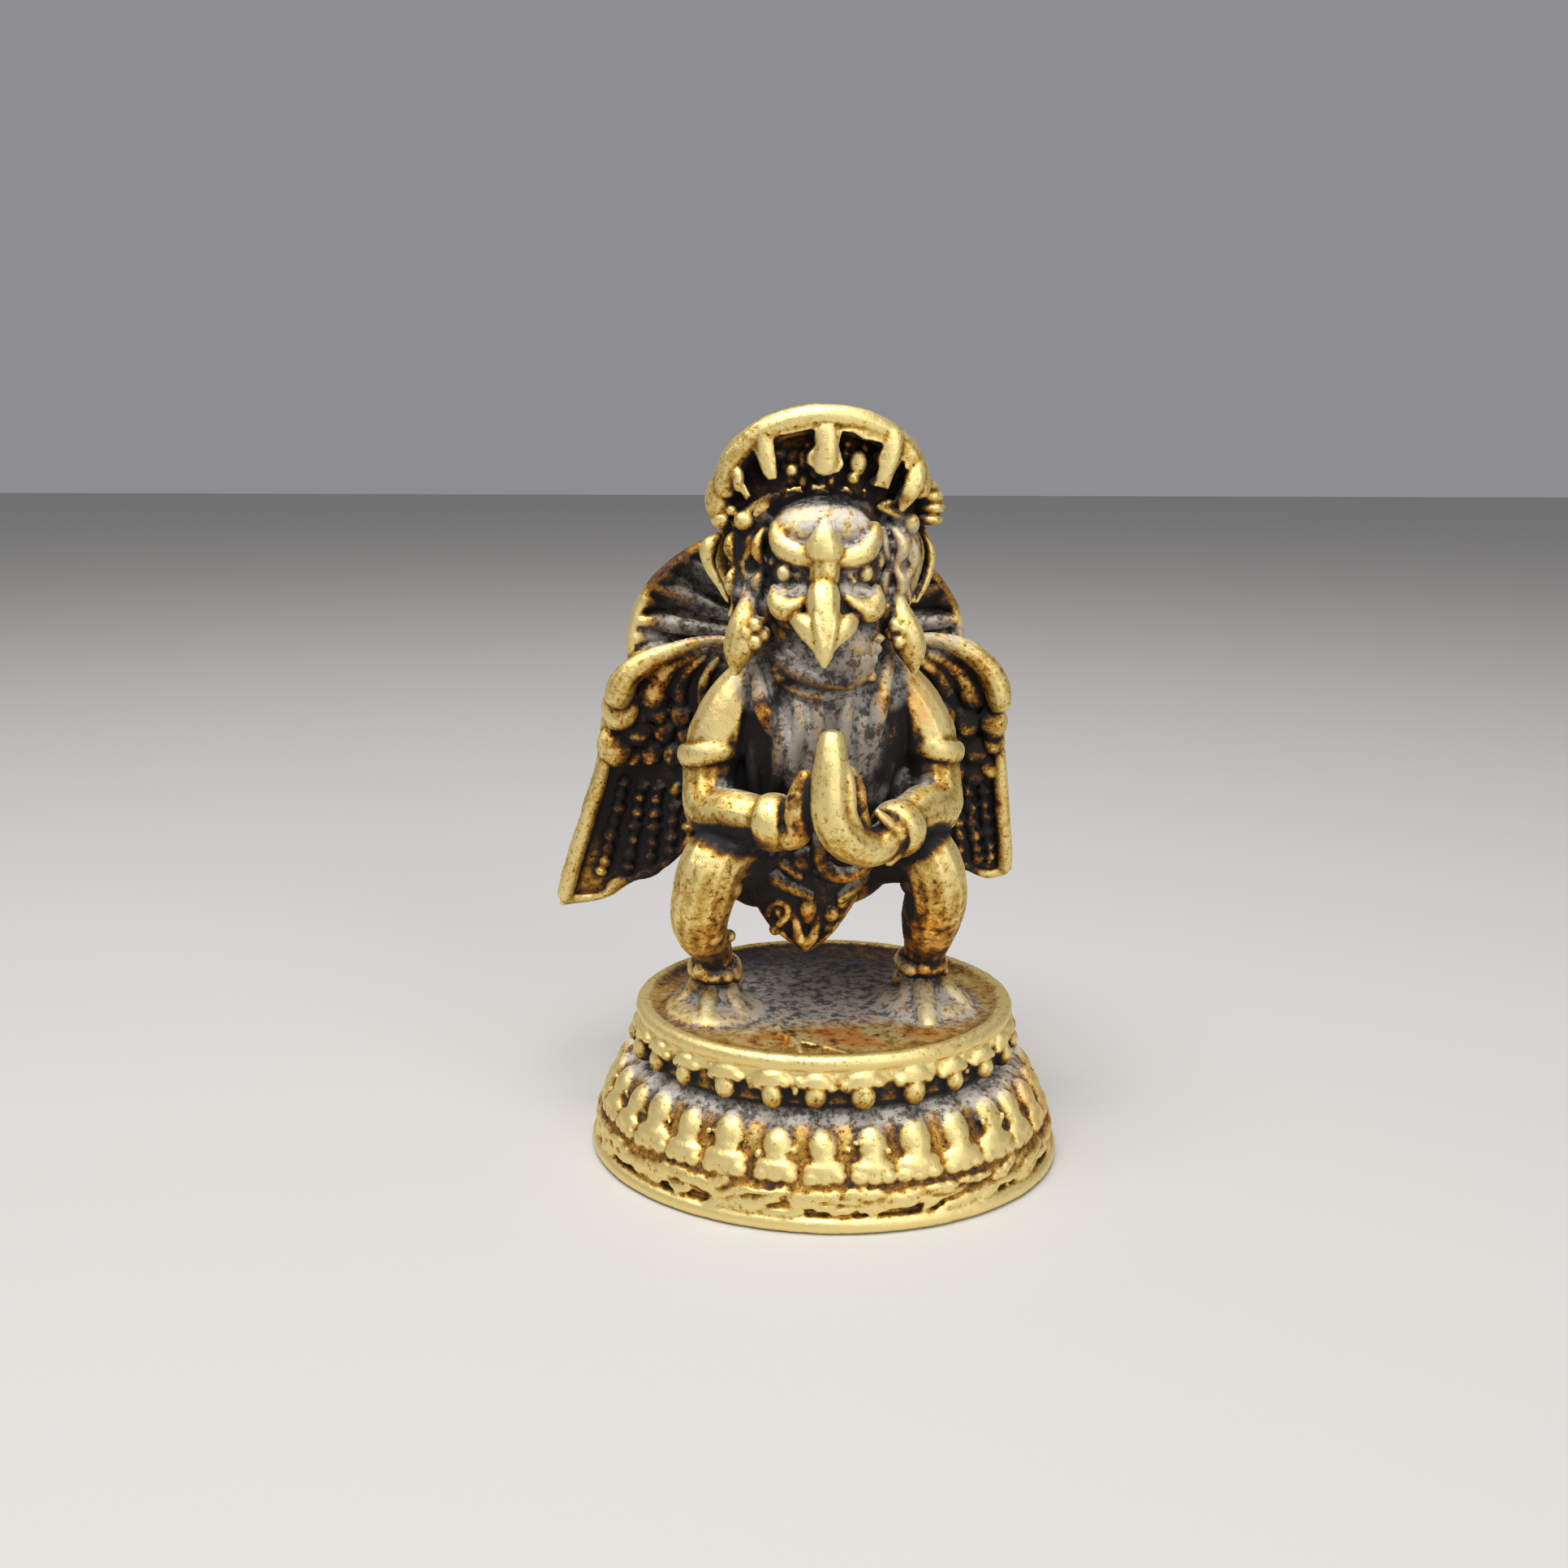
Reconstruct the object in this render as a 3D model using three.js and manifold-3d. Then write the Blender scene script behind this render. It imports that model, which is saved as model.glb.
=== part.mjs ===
// A small solid-cast brass Garuda: a crouching, bird-faced figure with its palms together, wings
// half open and a pleated fan behind the head, cast in one with an oval double-lotus plinth.
// Millimetres, +Z up. The origin is the middle of the plinth's underside, and the figure faces -Y.

import * as THREE from "three";
import { mergeVertices } from "three/addons/utils/BufferGeometryUtils.js";
import Module from "manifold-3d";

// Overall sizes
const figureHeight = 27.2; // plinth floor to the top of the crown
const plinthLength = 22.2; // the longer way across the oval foot ring
const plinthBreadth = 19.5; // the shorter way
const plinthTurn = -13; // degrees: the foot's oval is cast askew, its right end nearer the front
const plinthTopWidth = 17.7; // across the top lip, side to side
const plinthTopDepth = 16.3; // across the top lip, front to back
const figureCentreX = -0.35; // the figure stands a little off the plinth's middle

// Plinth tiers, from the table up
const footRingHeight = 0.95;
const grooveHeight = 0.25; // each of the two grooves beside the band
const bandHeight = 0.9;
const petalTierHeight = 2.35;
const waistHeight = 0.4;
const beadTierHeight = 1.6;
const lipHeight = 0.65;

// Plinth setbacks and rounding
const footRounding = 0.32; // edge radius of the foot ring
const bandSetback = 0.4; // the band stands this far inside the foot ring
const grooveDepth = 0.35; // each groove is cut this far behind the band
const petalSetback = 0.75; // foot of the petal wall inside the foot ring
const shoulderDrop = 0.75; // height over which the petal wall curves in to the waist
const waistSetback = 0.5; // the waist stands this far inside the lip
const beadSetback = 0.22; // the bead wall stands this far inside the lip
const lipWidth = 0.75; // the rounded lip, measured across its top
const dishDepth = 0.17; // the floor that the figure stands on, below the lip

// Lotus petals on the lower tier
const petalCount = 30;
const petalGap = 0.5; // between the wide lower lobes
const petalLobeHeight = 1.1;
const petalBulbWidth = 0.95; // the narrow upper bulb
const petalBulbHeight = 1.05;
const petalRelief = 0.4; // how far the petals stand out of the wall
const petalTurn = 4.2; // degrees from the front to the first petal

// Beads on the upper tier, each under a mushroom cap
const beadCount = 26;
const beadWidth = 0.95;
const beadHeight = 0.85;
const capGap = 0.5; // between the caps
const capHeight = 0.65;
const beadRelief = 0.42;
const beadTurn = 5.1; // degrees from the front to the first bead

// Metal thicknesses of the figure's thin parts
const wingThickness = 1.15;
const fanThickness = 1.1;

// Corners closer than this are one corner
const mergeDistance = 1e-4;

// Worked-out sizes
const share = figureHeight / 100; // the figure's proportions are hundredths of its own height
const footOval = { ratio: plinthBreadth / plinthLength, turn: THREE.MathUtils.degToRad(plinthTurn) };
const topOval = { ratio: plinthTopDepth / plinthTopWidth, turn: 0 };
const footRadius = plinthLength / 2;
const lipRadius = plinthTopWidth / 2;
const bandBottom = footRingHeight + grooveHeight;
const bandTop = bandBottom + bandHeight;
const petalBottom = bandTop + grooveHeight;
const waistBottom = petalBottom + petalTierHeight;
const beadBottom = waistBottom + waistHeight;
const lipBottom = beadBottom + beadTierHeight;
const plinthHeight = lipBottom + lipHeight;
const floorHeight = plinthHeight - dishDepth;
const petalWallFoot = footRadius - petalSetback;
const beadWall = lipRadius - beadSetback;
const waistRadius = lipRadius - waistSetback;
const petalWidth = (2 * Math.PI * petalWallFoot) / petalCount - petalGap;
const capWidth = (2 * Math.PI * beadWall) / beadCount - capGap;

const castBrass = new THREE.MeshStandardMaterial({ color: 0xa9873c, roughness: 0.42, metalness: 1 });

const wasm = await Module();
wasm.setup();

// A point of the figure, from its shares: x to the right, y to the back, z up from the plinth floor.
function figurePoint([x, y, z]) {
  return new THREE.Vector3(figureCentreX + x * share, y * share, floorHeight + z * share);
}

// Geometry into a solid, with its shared corners merged and its flat triangles dropped.
function toSolid(geometry) {
  const bare = geometry.clone();
  bare.deleteAttribute("normal");
  bare.deleteAttribute("uv");
  const merged = mergeVertices(bare, mergeDistance);
  const corners = merged.index.array;
  const kept = [];
  for (let i = 0; i < corners.length; i += 3) {
    const [a, b, c] = [corners[i], corners[i + 1], corners[i + 2]];
    if (a !== b && b !== c && c !== a) kept.push(a, b, c);
  }
  return new wasm.Manifold(new wasm.Mesh({
    numProp: 3,
    vertProperties: Float32Array.from(merged.attributes.position.array),
    triVerts: Uint32Array.from(kept),
  }));
}

function unite(solids) {
  return solids.reduce((sum, solid) => sum.add(solid));
}

// A casting has no sealed bubbles, so the pockets shut in where its forms meet are filled.
function fillBubbles(solid) {
  return unite(solid.decompose().filter((shell) => shell.volume() > 0));
}

// Points and triangles into a solid whose faces point out, whichever way round they were listed.
function solidFromFaces(points, faces) {
  let sixVolumes = 0;
  const normal = new THREE.Vector3();
  for (let i = 0; i < faces.length; i += 3) {
    normal.crossVectors(points[faces[i + 1]], points[faces[i + 2]]);
    sixVolumes += points[faces[i]].dot(normal);
  }
  const geometry = new THREE.BufferGeometry().setFromPoints(points);
  geometry.setIndex(sixVolumes < 0 ? [...faces].reverse() : faces);
  return toSolid(geometry);
}

// A body that runs through a list of rings of points, closed at each end by a pole. One ring may
// have a few times as many points as its neighbour.
function ringBody(rings, firstPole, lastPole) {
  const points = [...rings.flat(), firstPole, lastPole];
  const first = points.length - 2;
  const last = points.length - 1;
  const faces = [];
  let start = 0;
  const cap = (pole, ring, offset, flip) => {
    for (let side = 0; side < ring.length; side += 1) {
      const pair = [offset + side, offset + ((side + 1) % ring.length)];
      faces.push(pole, ...(flip ? pair.reverse() : pair));
    }
  };
  cap(first, rings[0], 0, true);
  for (let ring = 0; ring + 1 < rings.length; ring += 1) {
    const [low, high] = [rings[ring].length, rings[ring + 1].length];
    if (low <= high) stitch(points, faces, start, low, start + low, high, false);
    else stitch(points, faces, start + low, high, start, low, true);
    start += low;
  }
  cap(last, rings[rings.length - 1], start, false);
  return solidFromFaces(points, faces);
}

// Triangles between a ring of few points and one with as many or a few times more. Between rings of
// as many points, each four-sided face is split across its shorter way.
function stitch(points, faces, fewStart, few, manyStart, many, flip) {
  const times = many / few;
  const add = (a, b, c) => faces.push(...(flip ? [a, c, b] : [a, b, c]));
  for (let side = 0; side < few; side += 1) {
    const here = fewStart + side;
    const next = fewStart + ((side + 1) % few);
    const manyAt = (step) => manyStart + ((side * times + step) % many);
    const across = (a, b) => points[a].distanceToSquared(points[b]);
    const forwardSplit = times === 1 && across(here, manyAt(1)) < across(next, manyAt(0));
    const turnover = forwardSplit ? 1 : Math.floor(times / 2);
    for (let step = 0; step < times; step += 1) {
      add(step < turnover ? here : next, manyAt(step + 1), manyAt(step));
    }
    add(here, next, manyAt(turnover));
  }
}

// A plate between two grids of points of the same size, closed round its border.
function plateBody(frontRows, backRows) {
  const rows = frontRows.length;
  const columns = frontRows[0].length;
  const points = [...frontRows.flat(), ...backRows.flat()];
  const back = rows * columns;
  const faces = [];
  const quad = (a, b, c, d) => faces.push(a, b, c, a, c, d);
  for (let row = 0; row + 1 < rows; row += 1) {
    for (let column = 0; column + 1 < columns; column += 1) {
      const a = row * columns + column;
      const d = a + columns;
      quad(a, a + 1, d + 1, d);
      quad(back + a, back + d, back + d + 1, back + a + 1);
    }
    const left = row * columns;
    const right = left + columns - 1;
    quad(left, left + columns, back + left + columns, back + left);
    quad(right, back + right, back + right + columns, right + columns);
  }
  const lastRow = (rows - 1) * columns;
  for (let column = 0; column + 1 < columns; column += 1) {
    quad(column, back + column, back + column + 1, column + 1);
    quad(lastRow + column, lastRow + column + 1, back + lastRow + column + 1, back + lastRow + column);
  }
  return solidFromFaces(points, faces);
}

// Ways that a limb's half-through side can look
const forward = [0, -1, 0];
const upward = [0, 0, 1];

// A rounded limb through a list of places in shares. Each size is [half across, half through], and
// "facing" is the way that the half-through side looks. Blunt ends are domed, the others are tapered.
// A band is a raised ring round the limb: its middle along the run, its half-length and its rise.
function limb(places, sizes, { facing = forward, sides = 8, steps = 4, blunt = false, bands = [] } = {}) {
  const path = new THREE.CatmullRomCurve3(places.map(figurePoint), false, "centripetal");
  const halves = sizes.map(([across, through]) => new THREE.Vector3(across * share, through * share, 0));
  const girth = new THREE.CatmullRomCurve3(halves);
  const front = new THREE.Vector3(...facing);
  const slideAlong = (t, slide) => {
    const size = girth.getPoint(t);
    return path.getPoint(t).addScaledVector(path.getTangent(t), slide * Math.min(size.x, size.y));
  };
  const ringAt = (t, { slide = 0, scale = 1, rise = 0 } = {}) => {
    const along = path.getTangent(t);
    const out = front.clone().addScaledVector(along, -front.dot(along)).normalize();
    const across = new THREE.Vector3().crossVectors(along, out);
    const size = girth.getPoint(t);
    return Array.from({ length: sides }, (_, side) => {
      const angle = (2 * Math.PI * (side + 0.5)) / sides;
      return slideAlong(t, slide)
        .addScaledVector(across, Math.cos(angle) * (size.x * scale + rise * share))
        .addScaledVector(out, Math.sin(angle) * (size.y * scale + rise * share));
    });
  };
  const stops = Array.from({ length: steps + 1 }, (_, step) => ({ t: step / steps }))
    .filter(({ t }) => bands.every(([middle, half]) => Math.abs(t - middle) > half * 1.2));
  for (const [middle, half, rise] of bands) {
    stops.push({ t: middle - half }, { t: middle - half * 0.7, rise }, { t: middle + half * 0.7, rise });
    stops.push({ t: middle + half });
  }
  stops.sort((a, b) => a.t - b.t);
  const rings = stops.map(({ t, rise }) => ringAt(t, { rise }));
  if (blunt) {
    rings.unshift(ringAt(0, { slide: -Math.SQRT1_2, scale: Math.SQRT1_2 }));
    rings.push(ringAt(1, { slide: Math.SQRT1_2, scale: Math.SQRT1_2 }));
  }
  const reach = blunt ? 1 : 0.6;
  return ringBody(rings, slideAlong(0, -reach), slideAlong(1, reach));
}

// An egg-shaped lump: its centre and half-sizes in shares, with its third half-size along "axis".
function lump(centre, halfSizes, axis = upward, facets = 8) {
  const geometry = new THREE.SphereGeometry(1, facets, Math.ceil(facets * 0.6));
  geometry.rotateX(Math.PI / 2);
  geometry.scale(...halfSizes.map((half) => half * share));
  const turn = new THREE.Quaternion();
  turn.setFromUnitVectors(new THREE.Vector3(0, 0, 1), new THREE.Vector3(...axis).normalize());
  geometry.applyQuaternion(turn);
  const place = figurePoint(centre);
  geometry.translate(place.x, place.y, place.z);
  return toSolid(geometry);
}

// The same thing on both sides of the figure: side is -1 on the viewer's left and 1 on the right.
function bothSides(make) {
  return [make(-1), make(1)];
}

// Plinth

// A place on an oval, at an angle in degrees from the front. The radius is half the longer way across.
function ovalPoint({ ratio, turn }, degrees, radius, height) {
  const angle = THREE.MathUtils.degToRad(degrees) - turn;
  const place = new THREE.Vector3(radius * Math.sin(angle), -radius * ratio * Math.cos(angle), height);
  return place.applyAxisAngle(new THREE.Vector3(...upward), turn);
}

// A ring of an oval tier, with one corner in each gap between the bosses.
function plainRing({ oval, count, firstBoss }, radius, height) {
  return Array.from({ length: count }, (_, boss) =>
    ovalPoint(oval, firstBoss + (360 * (boss - 0.5)) / count, radius, height));
}

// A ring across the bosses. Each has a corner on the wall at both sides and one on its crown, which
// stands out of the wall.
function bossRing({ oval, count, firstBoss }, radius, height, width, relief) {
  const spread = THREE.MathUtils.radToDeg(width / 2 / radius);
  return Array.from({ length: count }, (_, boss) => {
    const middle = firstBoss + (360 * boss) / count;
    return [
      ovalPoint(oval, middle - spread, radius, height),
      ovalPoint(oval, middle, radius + relief, height),
      ovalPoint(oval, middle + spread, radius, height),
    ];
  }).flat();
}

// Radius of the petal wall at a height: it leans in a little, then rounds over to the waist.
function petalWallRadius(height) {
  const shoulder = waistBottom - shoulderDrop;
  const lean = (petalWallFoot - waistRadius) * 0.45;
  const top = petalWallFoot - lean;
  const end = waistRadius - waistSetback * 0.4;
  if (height <= shoulder) {
    return petalWallFoot - lean * ((height - petalBottom) / (shoulder - petalBottom));
  }
  const rise = Math.min(1, (height - shoulder) / shoulderDrop);
  return end + (top - end) * Math.sqrt(1 - rise * rise);
}

// Rounded edge of a ring, from its lower to its upper corner, as radii and heights.
function roundedEdge(radius, bottom, top, rounding) {
  return [
    [radius - rounding, bottom],
    [radius, bottom + (top - bottom) * 0.3],
    [radius, bottom + (top - bottom) * 0.7],
    [radius - rounding, top],
  ];
}

function axisPoint(height) {
  return new THREE.Vector3(0, 0, height);
}

// Lower tier: foot ring, band between two grooves, the lotus petals and their rounded shoulder.
function petalTier() {
  const tier = { oval: footOval, count: petalCount, firstBoss: petalTurn };
  const bandRadius = footRadius - bandSetback;
  const grooveRadius = bandRadius - grooveDepth;
  const lobeTop = petalBottom + petalLobeHeight;
  const below = [
    ...roundedEdge(footRadius, 0, footRingHeight, footRounding),
    [grooveRadius, footRingHeight + grooveHeight / 2],
    [bandRadius, bandBottom],
    [bandRadius - grooveDepth * 0.4, bandTop],
    [petalWallFoot - grooveDepth * 0.3, petalBottom],
  ];
  const bosses = [
    [petalBottom + petalLobeHeight * 0.45, petalWidth, petalRelief],
    [lobeTop, petalBulbWidth * 0.8, petalRelief * 0.5],
    [lobeTop + petalBulbHeight * 0.4, petalBulbWidth, petalRelief],
    [lobeTop + petalBulbHeight, petalBulbWidth * 0.5, 0],
  ];
  const above = [0.65, 1].map((rise) => {
    const height = waistBottom - shoulderDrop * (1 - rise);
    return [petalWallRadius(height), height];
  });
  const petals = bosses.map(([height, width, relief]) =>
    bossRing(tier, petalWallRadius(height), height, width, relief));
  return ringBody([
    ...below.map(([radius, height]) => plainRing(tier, radius, height)),
    ...petals,
    ...above.map(([radius, height]) => plainRing(tier, radius, height)),
  ], axisPoint(0), axisPoint(waistBottom));
}

// Upper tier: waist, capped beads on the wall, then the rounded lip round the dished floor.
function beadTier() {
  const tier = { oval: topOval, count: beadCount, firstBoss: beadTurn };
  const neck = lipBottom - capHeight;
  const bosses = [
    [neck - beadHeight * 0.5, beadWidth, beadRelief],
    [neck, beadWidth * 0.7, beadRelief * 0.3],
    [neck + capHeight * 0.35, capWidth, beadRelief * 0.8],
    [lipBottom - capHeight * 0.1, capWidth * 0.5, 0],
  ];
  const below = [[waistRadius, bandTop], [waistRadius, beadBottom]];
  const above = [
    ...roundedEdge(lipRadius, lipBottom, plinthHeight, lipWidth / 2),
    [lipRadius - lipWidth, floorHeight],
  ];
  return ringBody([
    ...below.map(([radius, height]) => plainRing(tier, radius, height)),
    ...bosses.map(([height, width, relief]) => bossRing(tier, beadWall, height, width, relief)),
    ...above.map(([radius, height]) => plainRing(tier, radius, height)),
  ], axisPoint(bandTop), axisPoint(floorHeight));
}

function plinth() {
  return unite([petalTier(), beadTier()]);
}

// Legs and feet

// Three-toed bird's foot: toes splay forwards from under the ankle, with a spur behind.
function foot(side) {
  const ankle = [side * 18, 0, 2.6];
  const toeEnds = side < 0
    ? [[-24.5, -3, 0.5], [-20.5, -12.5, 0.5], [-12, -12.5, 0.5]]
    : [[12, -11, 0.5], [16.5, -17, 0.5], [25.5, -9, 0.5]];
  const toes = toeEnds.map((end) => {
    const knuckle = [(ankle[0] + end[0] * 2) / 3, (ankle[1] + end[1] * 2) / 3, 1.9];
    return limb([ankle, knuckle, end], [[2.4, 2], [2.2, 1.9], [1.5, 1.2]],
      { facing: upward, sides: 4, steps: 2 });
  });
  const spur = limb([ankle, [side * 19, 8.5, 0.7]], [[2.2, 2.2], [1.4, 1.2]],
    { facing: upward, sides: 4, steps: 1 });
  const instep = lump([side * 18, -3.5, 0.6], [6.6, 7, 2.6], upward, 5);
  return unite([...toes, spur, instep]);
}

// Crouching leg in one run: hip forward to the knee, then a full calf back down to the banded ankle.
function leg(side) {
  const kneeX = side < 0 ? -20 : 17.6;
  return limb(
    [[side * 5, 2, 26], [side * 13, -6, 28.5], [kneeX - side, -12, 28.2], [kneeX + side * 0.2, -12, 23.5],
      [kneeX + side * 0.4, -8, 16], [side * 18, -2.5, 8.5], [side * 17.8, -0.8, 2.5]],
    [[6.5, 6.5], [6.3, 6.4], [5.6, 5.6], [5.6, 5.8], [5.6, 5.6], [3.6, 3.8], [3, 3]],
    { facing: [0.56, 0.63 * side, 0.3 * side], sides: 7, steps: 8, bands: [[0.87, 0.045, 1]] },
  );
}

// The pointed apron that hangs between the knees, with three lobes carved on it.
function apron() {
  const [top, tip] = [25, 10.2];
  const rows = 3;
  const columns = [-1, 0, 1];
  const edge = (down, column, back) => {
    const half = 9.4 * Math.pow(1 - down, 0.6) + 0.6;
    const depth = -9.5 + 3.2 * down;
    const z = top + (tip - top) * down;
    return figurePoint([-3 + column * half, back ? depth + 4 : depth - 2 * (1 - column * column), z]);
  };
  const grid = (back) => Array.from({ length: rows + 1 }, (_, row) =>
    columns.map((column) => edge(row / rows, column, back)));
  const motifs = [[-7, -10, 19], [-3.4, -10.4, 16], [0.6, -10.2, 18.4]].map((place) =>
    lump(place, [1.7, 1.7, 2.3], upward, 5));
  return unite([plateBody(grid(false), grid(true)), ...motifs]);
}

// Knotted sash that loops below the hands.
function sash() {
  return limb(
    [[-3, -8, 31], [-0.6, -12.5, 27.5], [2.4, -14, 24.6], [5.6, -12.5, 25.2], [7, -8, 29]],
    [[1.3, 1.3], [1.3, 1.3], [1.7, 1.5], [1.3, 1.3], [1.3, 1.3]], { sides: 4, steps: 6 },
  );
}

// Body

// The trunk runs from the seat to the nape, deep enough behind to carry the wings and the fan. The
// seat is low between the legs, behind the apron.
function torso() {
  const trunk = limb(
    [[-3.4, 0, 16.8], [-1.8, -0.5, 21], [-2.2, -1, 28], [-1, -0.5, 34], [0.6, 0, 40], [0.2, 0.5, 47],
      [0, 0.8, 53], [0, 1, 58], [0, 2, 64], [0, 4, 70]],
    [[11.2, 7], [15, 9], [13.4, 9.6], [11.8, 9.5], [13.6, 11.5], [17, 12.5],
      [17, 12.8], [13.8, 12.5], [11.5, 12], [10, 9]],
    { sides: 9, steps: 8 },
  );
  const throat = lump([-0.6, -8.5, 60], [8.8, 6.6, 6], upward, 7);
  return unite([trunk, throat, apron(), sash(), ...scarf(), ...folds()]);
}

// Two narrow scarf ends that fall from the neck down the chest.
function scarf() {
  const left = [[-11.4, -6.4, 58.5], [-10.6, -9.6, 53], [-8.4, -10.6, 47]];
  const right = [[9.8, -7.4, 59], [9, -10.4, 51], [6.6, -10, 41.5]];
  const sizes = [[1.3, 1.3], [1.7, 1.6], [0.9, 1.2]];
  return [left, right].map((places) => limb(places, sizes, { sides: 4, steps: 3 }));
}

// Drapery folds that run down the chest between the scarf ends.
function folds() {
  return [-4.6, -0.8, 3.2].map((x) =>
    limb([[x, -11.4, 54], [x * 0.8, -12, 47], [x * 0.5 - 1, -11, 40]], [[1, 1.3], [1.3, 1.6], [1, 1.3]],
      { sides: 4, steps: 2 }));
}

// Arms and hands

// One run from the shoulder down to the elbow and forward to the wrist, with an armband below the
// sleeve and a bracelet.
function arm(side) {
  const wristZ = side < 0 ? 36.4 : 34.2;
  return limb(
    [[side * 12, -2, 54.5], [side * 17, -2.5, 50], [side * 18.3, -3, 43], [side * 18.9, -4.5, 38],
      [side * 17.8, -8.5, 35.2], [side * 14.6, -13, 35.8], [side * 9.5, -18.5, wristZ]],
    [[5.4, 4.6], [5.6, 5], [4.5, 4.4], [4.3, 4.3], [4.5, 4.5], [4.5, 4.5], [3.7, 3.7]],
    { facing: [1, -0.8 * side, 0.1], sides: 7, steps: 8, bands: [[0.33, 0.045, 1], [0.93, 0.045, 0.8]] },
  );
}

// Palms pressed together. The nearer hand turns round in a hook from the fingertips to its heel.
function hands() {
  const nearHand = limb(
    [[-1.5, -21.5, 48.6], [-2, -22, 43.5], [-1.8, -22, 37.5], [1.2, -21.5, 33], [6, -20, 31.8],
      [9, -18.5, 33.6]],
    [[2.3, 4], [3.4, 4.6], [4, 4.6], [3.6, 4.4], [3.2, 4], [3, 3.4]], { sides: 6, steps: 6, blunt: true },
  );
  const farHand = limb(
    [[-3.6, -19.5, 46.5], [-5.2, -20, 41], [-6.4, -19.5, 36.5], [-8.5, -18.5, 35.5]],
    [[1.7, 3.6], [2.9, 4.2], [3.6, 4.2], [3.4, 3.6]], { sides: 5, steps: 4 },
  );
  return unite([nearHand, farHand]);
}

// Head

function head() {
  const skull = lump([-1, -5.5, 75.5], [10.6, 9.6, 10.2], upward, 8);
  const muzzle = lump([-1.4, -9.5, 68.2], [9.4, 7.2, 6.8], upward, 7);
  return unite([skull, muzzle, brow(), beak(), ...cheeks(), ...eyes()]);
}

// Heavy brow: a domed forehead with a boss in the middle, and an arc that sweeps out and up round it
// on each side.
function brow() {
  const forehead = lump([-1.1, -9.4, 80], [8.8, 5, 5.8], upward, 7);
  const boss = lump([-1.6, -14, 80], [3, 1.9, 3.4], upward, 5);
  const arcs = bothSides((side) => limb(
    [[-1.4, -14.6, 76.7], [-1.2 + side * 3.9, -14, 76.5], [-1 + side * 7.2, -12, 78.3],
      [-0.9 + side * 8.4, -10, 81.8]],
    [[1.8, 2], [1.8, 2], [1.8, 2], [1.3, 1.5]], { sides: 4 },
  ));
  return unite([forehead, boss, ...arcs]);
}

// Hooked beak, keeled down the middle, with a short flange at each side of its root.
function beak() {
  const bridge = limb([[-1.6, -13.6, 77], [-1.7, -16.6, 73.5], [-1.8, -17.8, 70.5]],
    [[2.3, 2.2], [2.1, 2.4], [2.2, 2.2]], { sides: 4, steps: 2 });
  const hook = limb(
    [[-1.8, -17.3, 71.8], [-1.9, -20.4, 69], [-2, -22, 65], [-2.1, -21.4, 61.6]],
    [[2.2, 2.4], [2.6, 3.2], [2.2, 2.8], [0.6, 0.8]], { sides: 5 },
  );
  const flanges = bothSides((side) => limb(
    [[-1.9, -19.4, 63.8], [-1.7 + side * 3, -17, 65.6], [-1.5 + side * 5, -14, 67.2]],
    [[2, 2.4], [1.9, 2.2], [1.1, 1.4]], { sides: 4, steps: 2 },
  ));
  return unite([bridge, hook, ...flanges]);
}

// Cheeks that curl like crescents from beside the eye round under it.
function cheeks() {
  return bothSides((side) => limb(
    [[-0.9 + side * 8.7, -10.6, 72.2], [-0.8 + side * 8.1, -12, 69.6], [-1 + side * 6.2, -13.4, 68.4],
      [-1.4 + side * 3.6, -15, 70]],
    [[1.2, 1.8], [2.2, 2.4], [2.4, 2.5], [1, 1.8]], { sides: 4, steps: 3 },
  ));
}

function eyes() {
  return bothSides((side) => lump([-1.2 + side * 6.4, -12.9, 74.2], [1.5, 1.6, 1.6], upward, 5));
}

// Hair in heavy locks at the sides of the face, and a full bun of it behind.
function hair() {
  const mass = lump([0.2, -0.5, 76.5], [15.4, 9.5, 15], upward, 8);
  const locks = bothSides((side) => [0, 1].map((index) => {
    const outer = 12.2 + index * 3.2;
    const depth = -7.8 + index * 4.6;
    return limb(
      [[side * (outer - 1.2), depth + 0.4, 82], [side * (outer + 0.9), depth - 0.9, 77.5],
        [side * (outer - 0.2), depth, 73.5], [side * (outer + 0.9), depth - 0.6, 69.5],
        [side * (outer - 1), depth + 1, 66]],
      [[1.3, 1.6], [1.9, 2.1], [1.6, 1.9], [1.8, 2], [1, 1.2]], { sides: 4, steps: 5 },
    );
  })).flat();
  return unite([mass, ...locks]);
}

// Long ear drops with a cluster of beads on the inner edge.
function earrings() {
  return bothSides((side) => {
    const drop = limb(
      [[side * 10.6, -8.6, 70.8], [side * 12.6, -9.4, 65.5], [side * 14, -9.6, 61.5],
        [side * 14.6, -9.6, 57.8]],
      [[1.4, 1.6], [2.5, 2.3], [2.3, 2.2], [0.7, 0.8]], { sides: 6 },
    );
    const cluster = lump([side * 10.9, -10.8, 64], [1.8, 1.6, 2], upward, 6);
    return unite([drop, cluster]);
  });
}

// Crown

// The crown's arch, seen from the front: 0 is its left foot and 1 its right foot.
function crownArch(t, inset, depth) {
  const angle = Math.PI * (1.08 - 1.16 * t);
  const x = -0.8 + (17.3 - inset) * Math.cos(angle);
  const z = 87 + (13 - inset) * Math.sin(angle);
  return [x, depth + 3.4 * Math.cos(angle) ** 2, z];
}

// A hollowed shell with a thick rim that stands forward round it.
function crown() {
  const steps = 10;
  const archRow = ([inset, depth]) =>
    Array.from({ length: steps + 1 }, (_, step) => figurePoint(crownArch(step / steps, inset, depth)));
  const shell = plateBody(
    [[0.2, -9.6], [0.9, -12.4], [3, -12.4], [3.9, -9.4], [11, -9]].map(archRow),
    [[1.2, 3], [3, 3.8], [5, 4], [8, 4], [11, 4]].map(archRow),
  );
  return unite([shell, ...tabs(), diadem(), ...rosettes()]);
}

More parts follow.
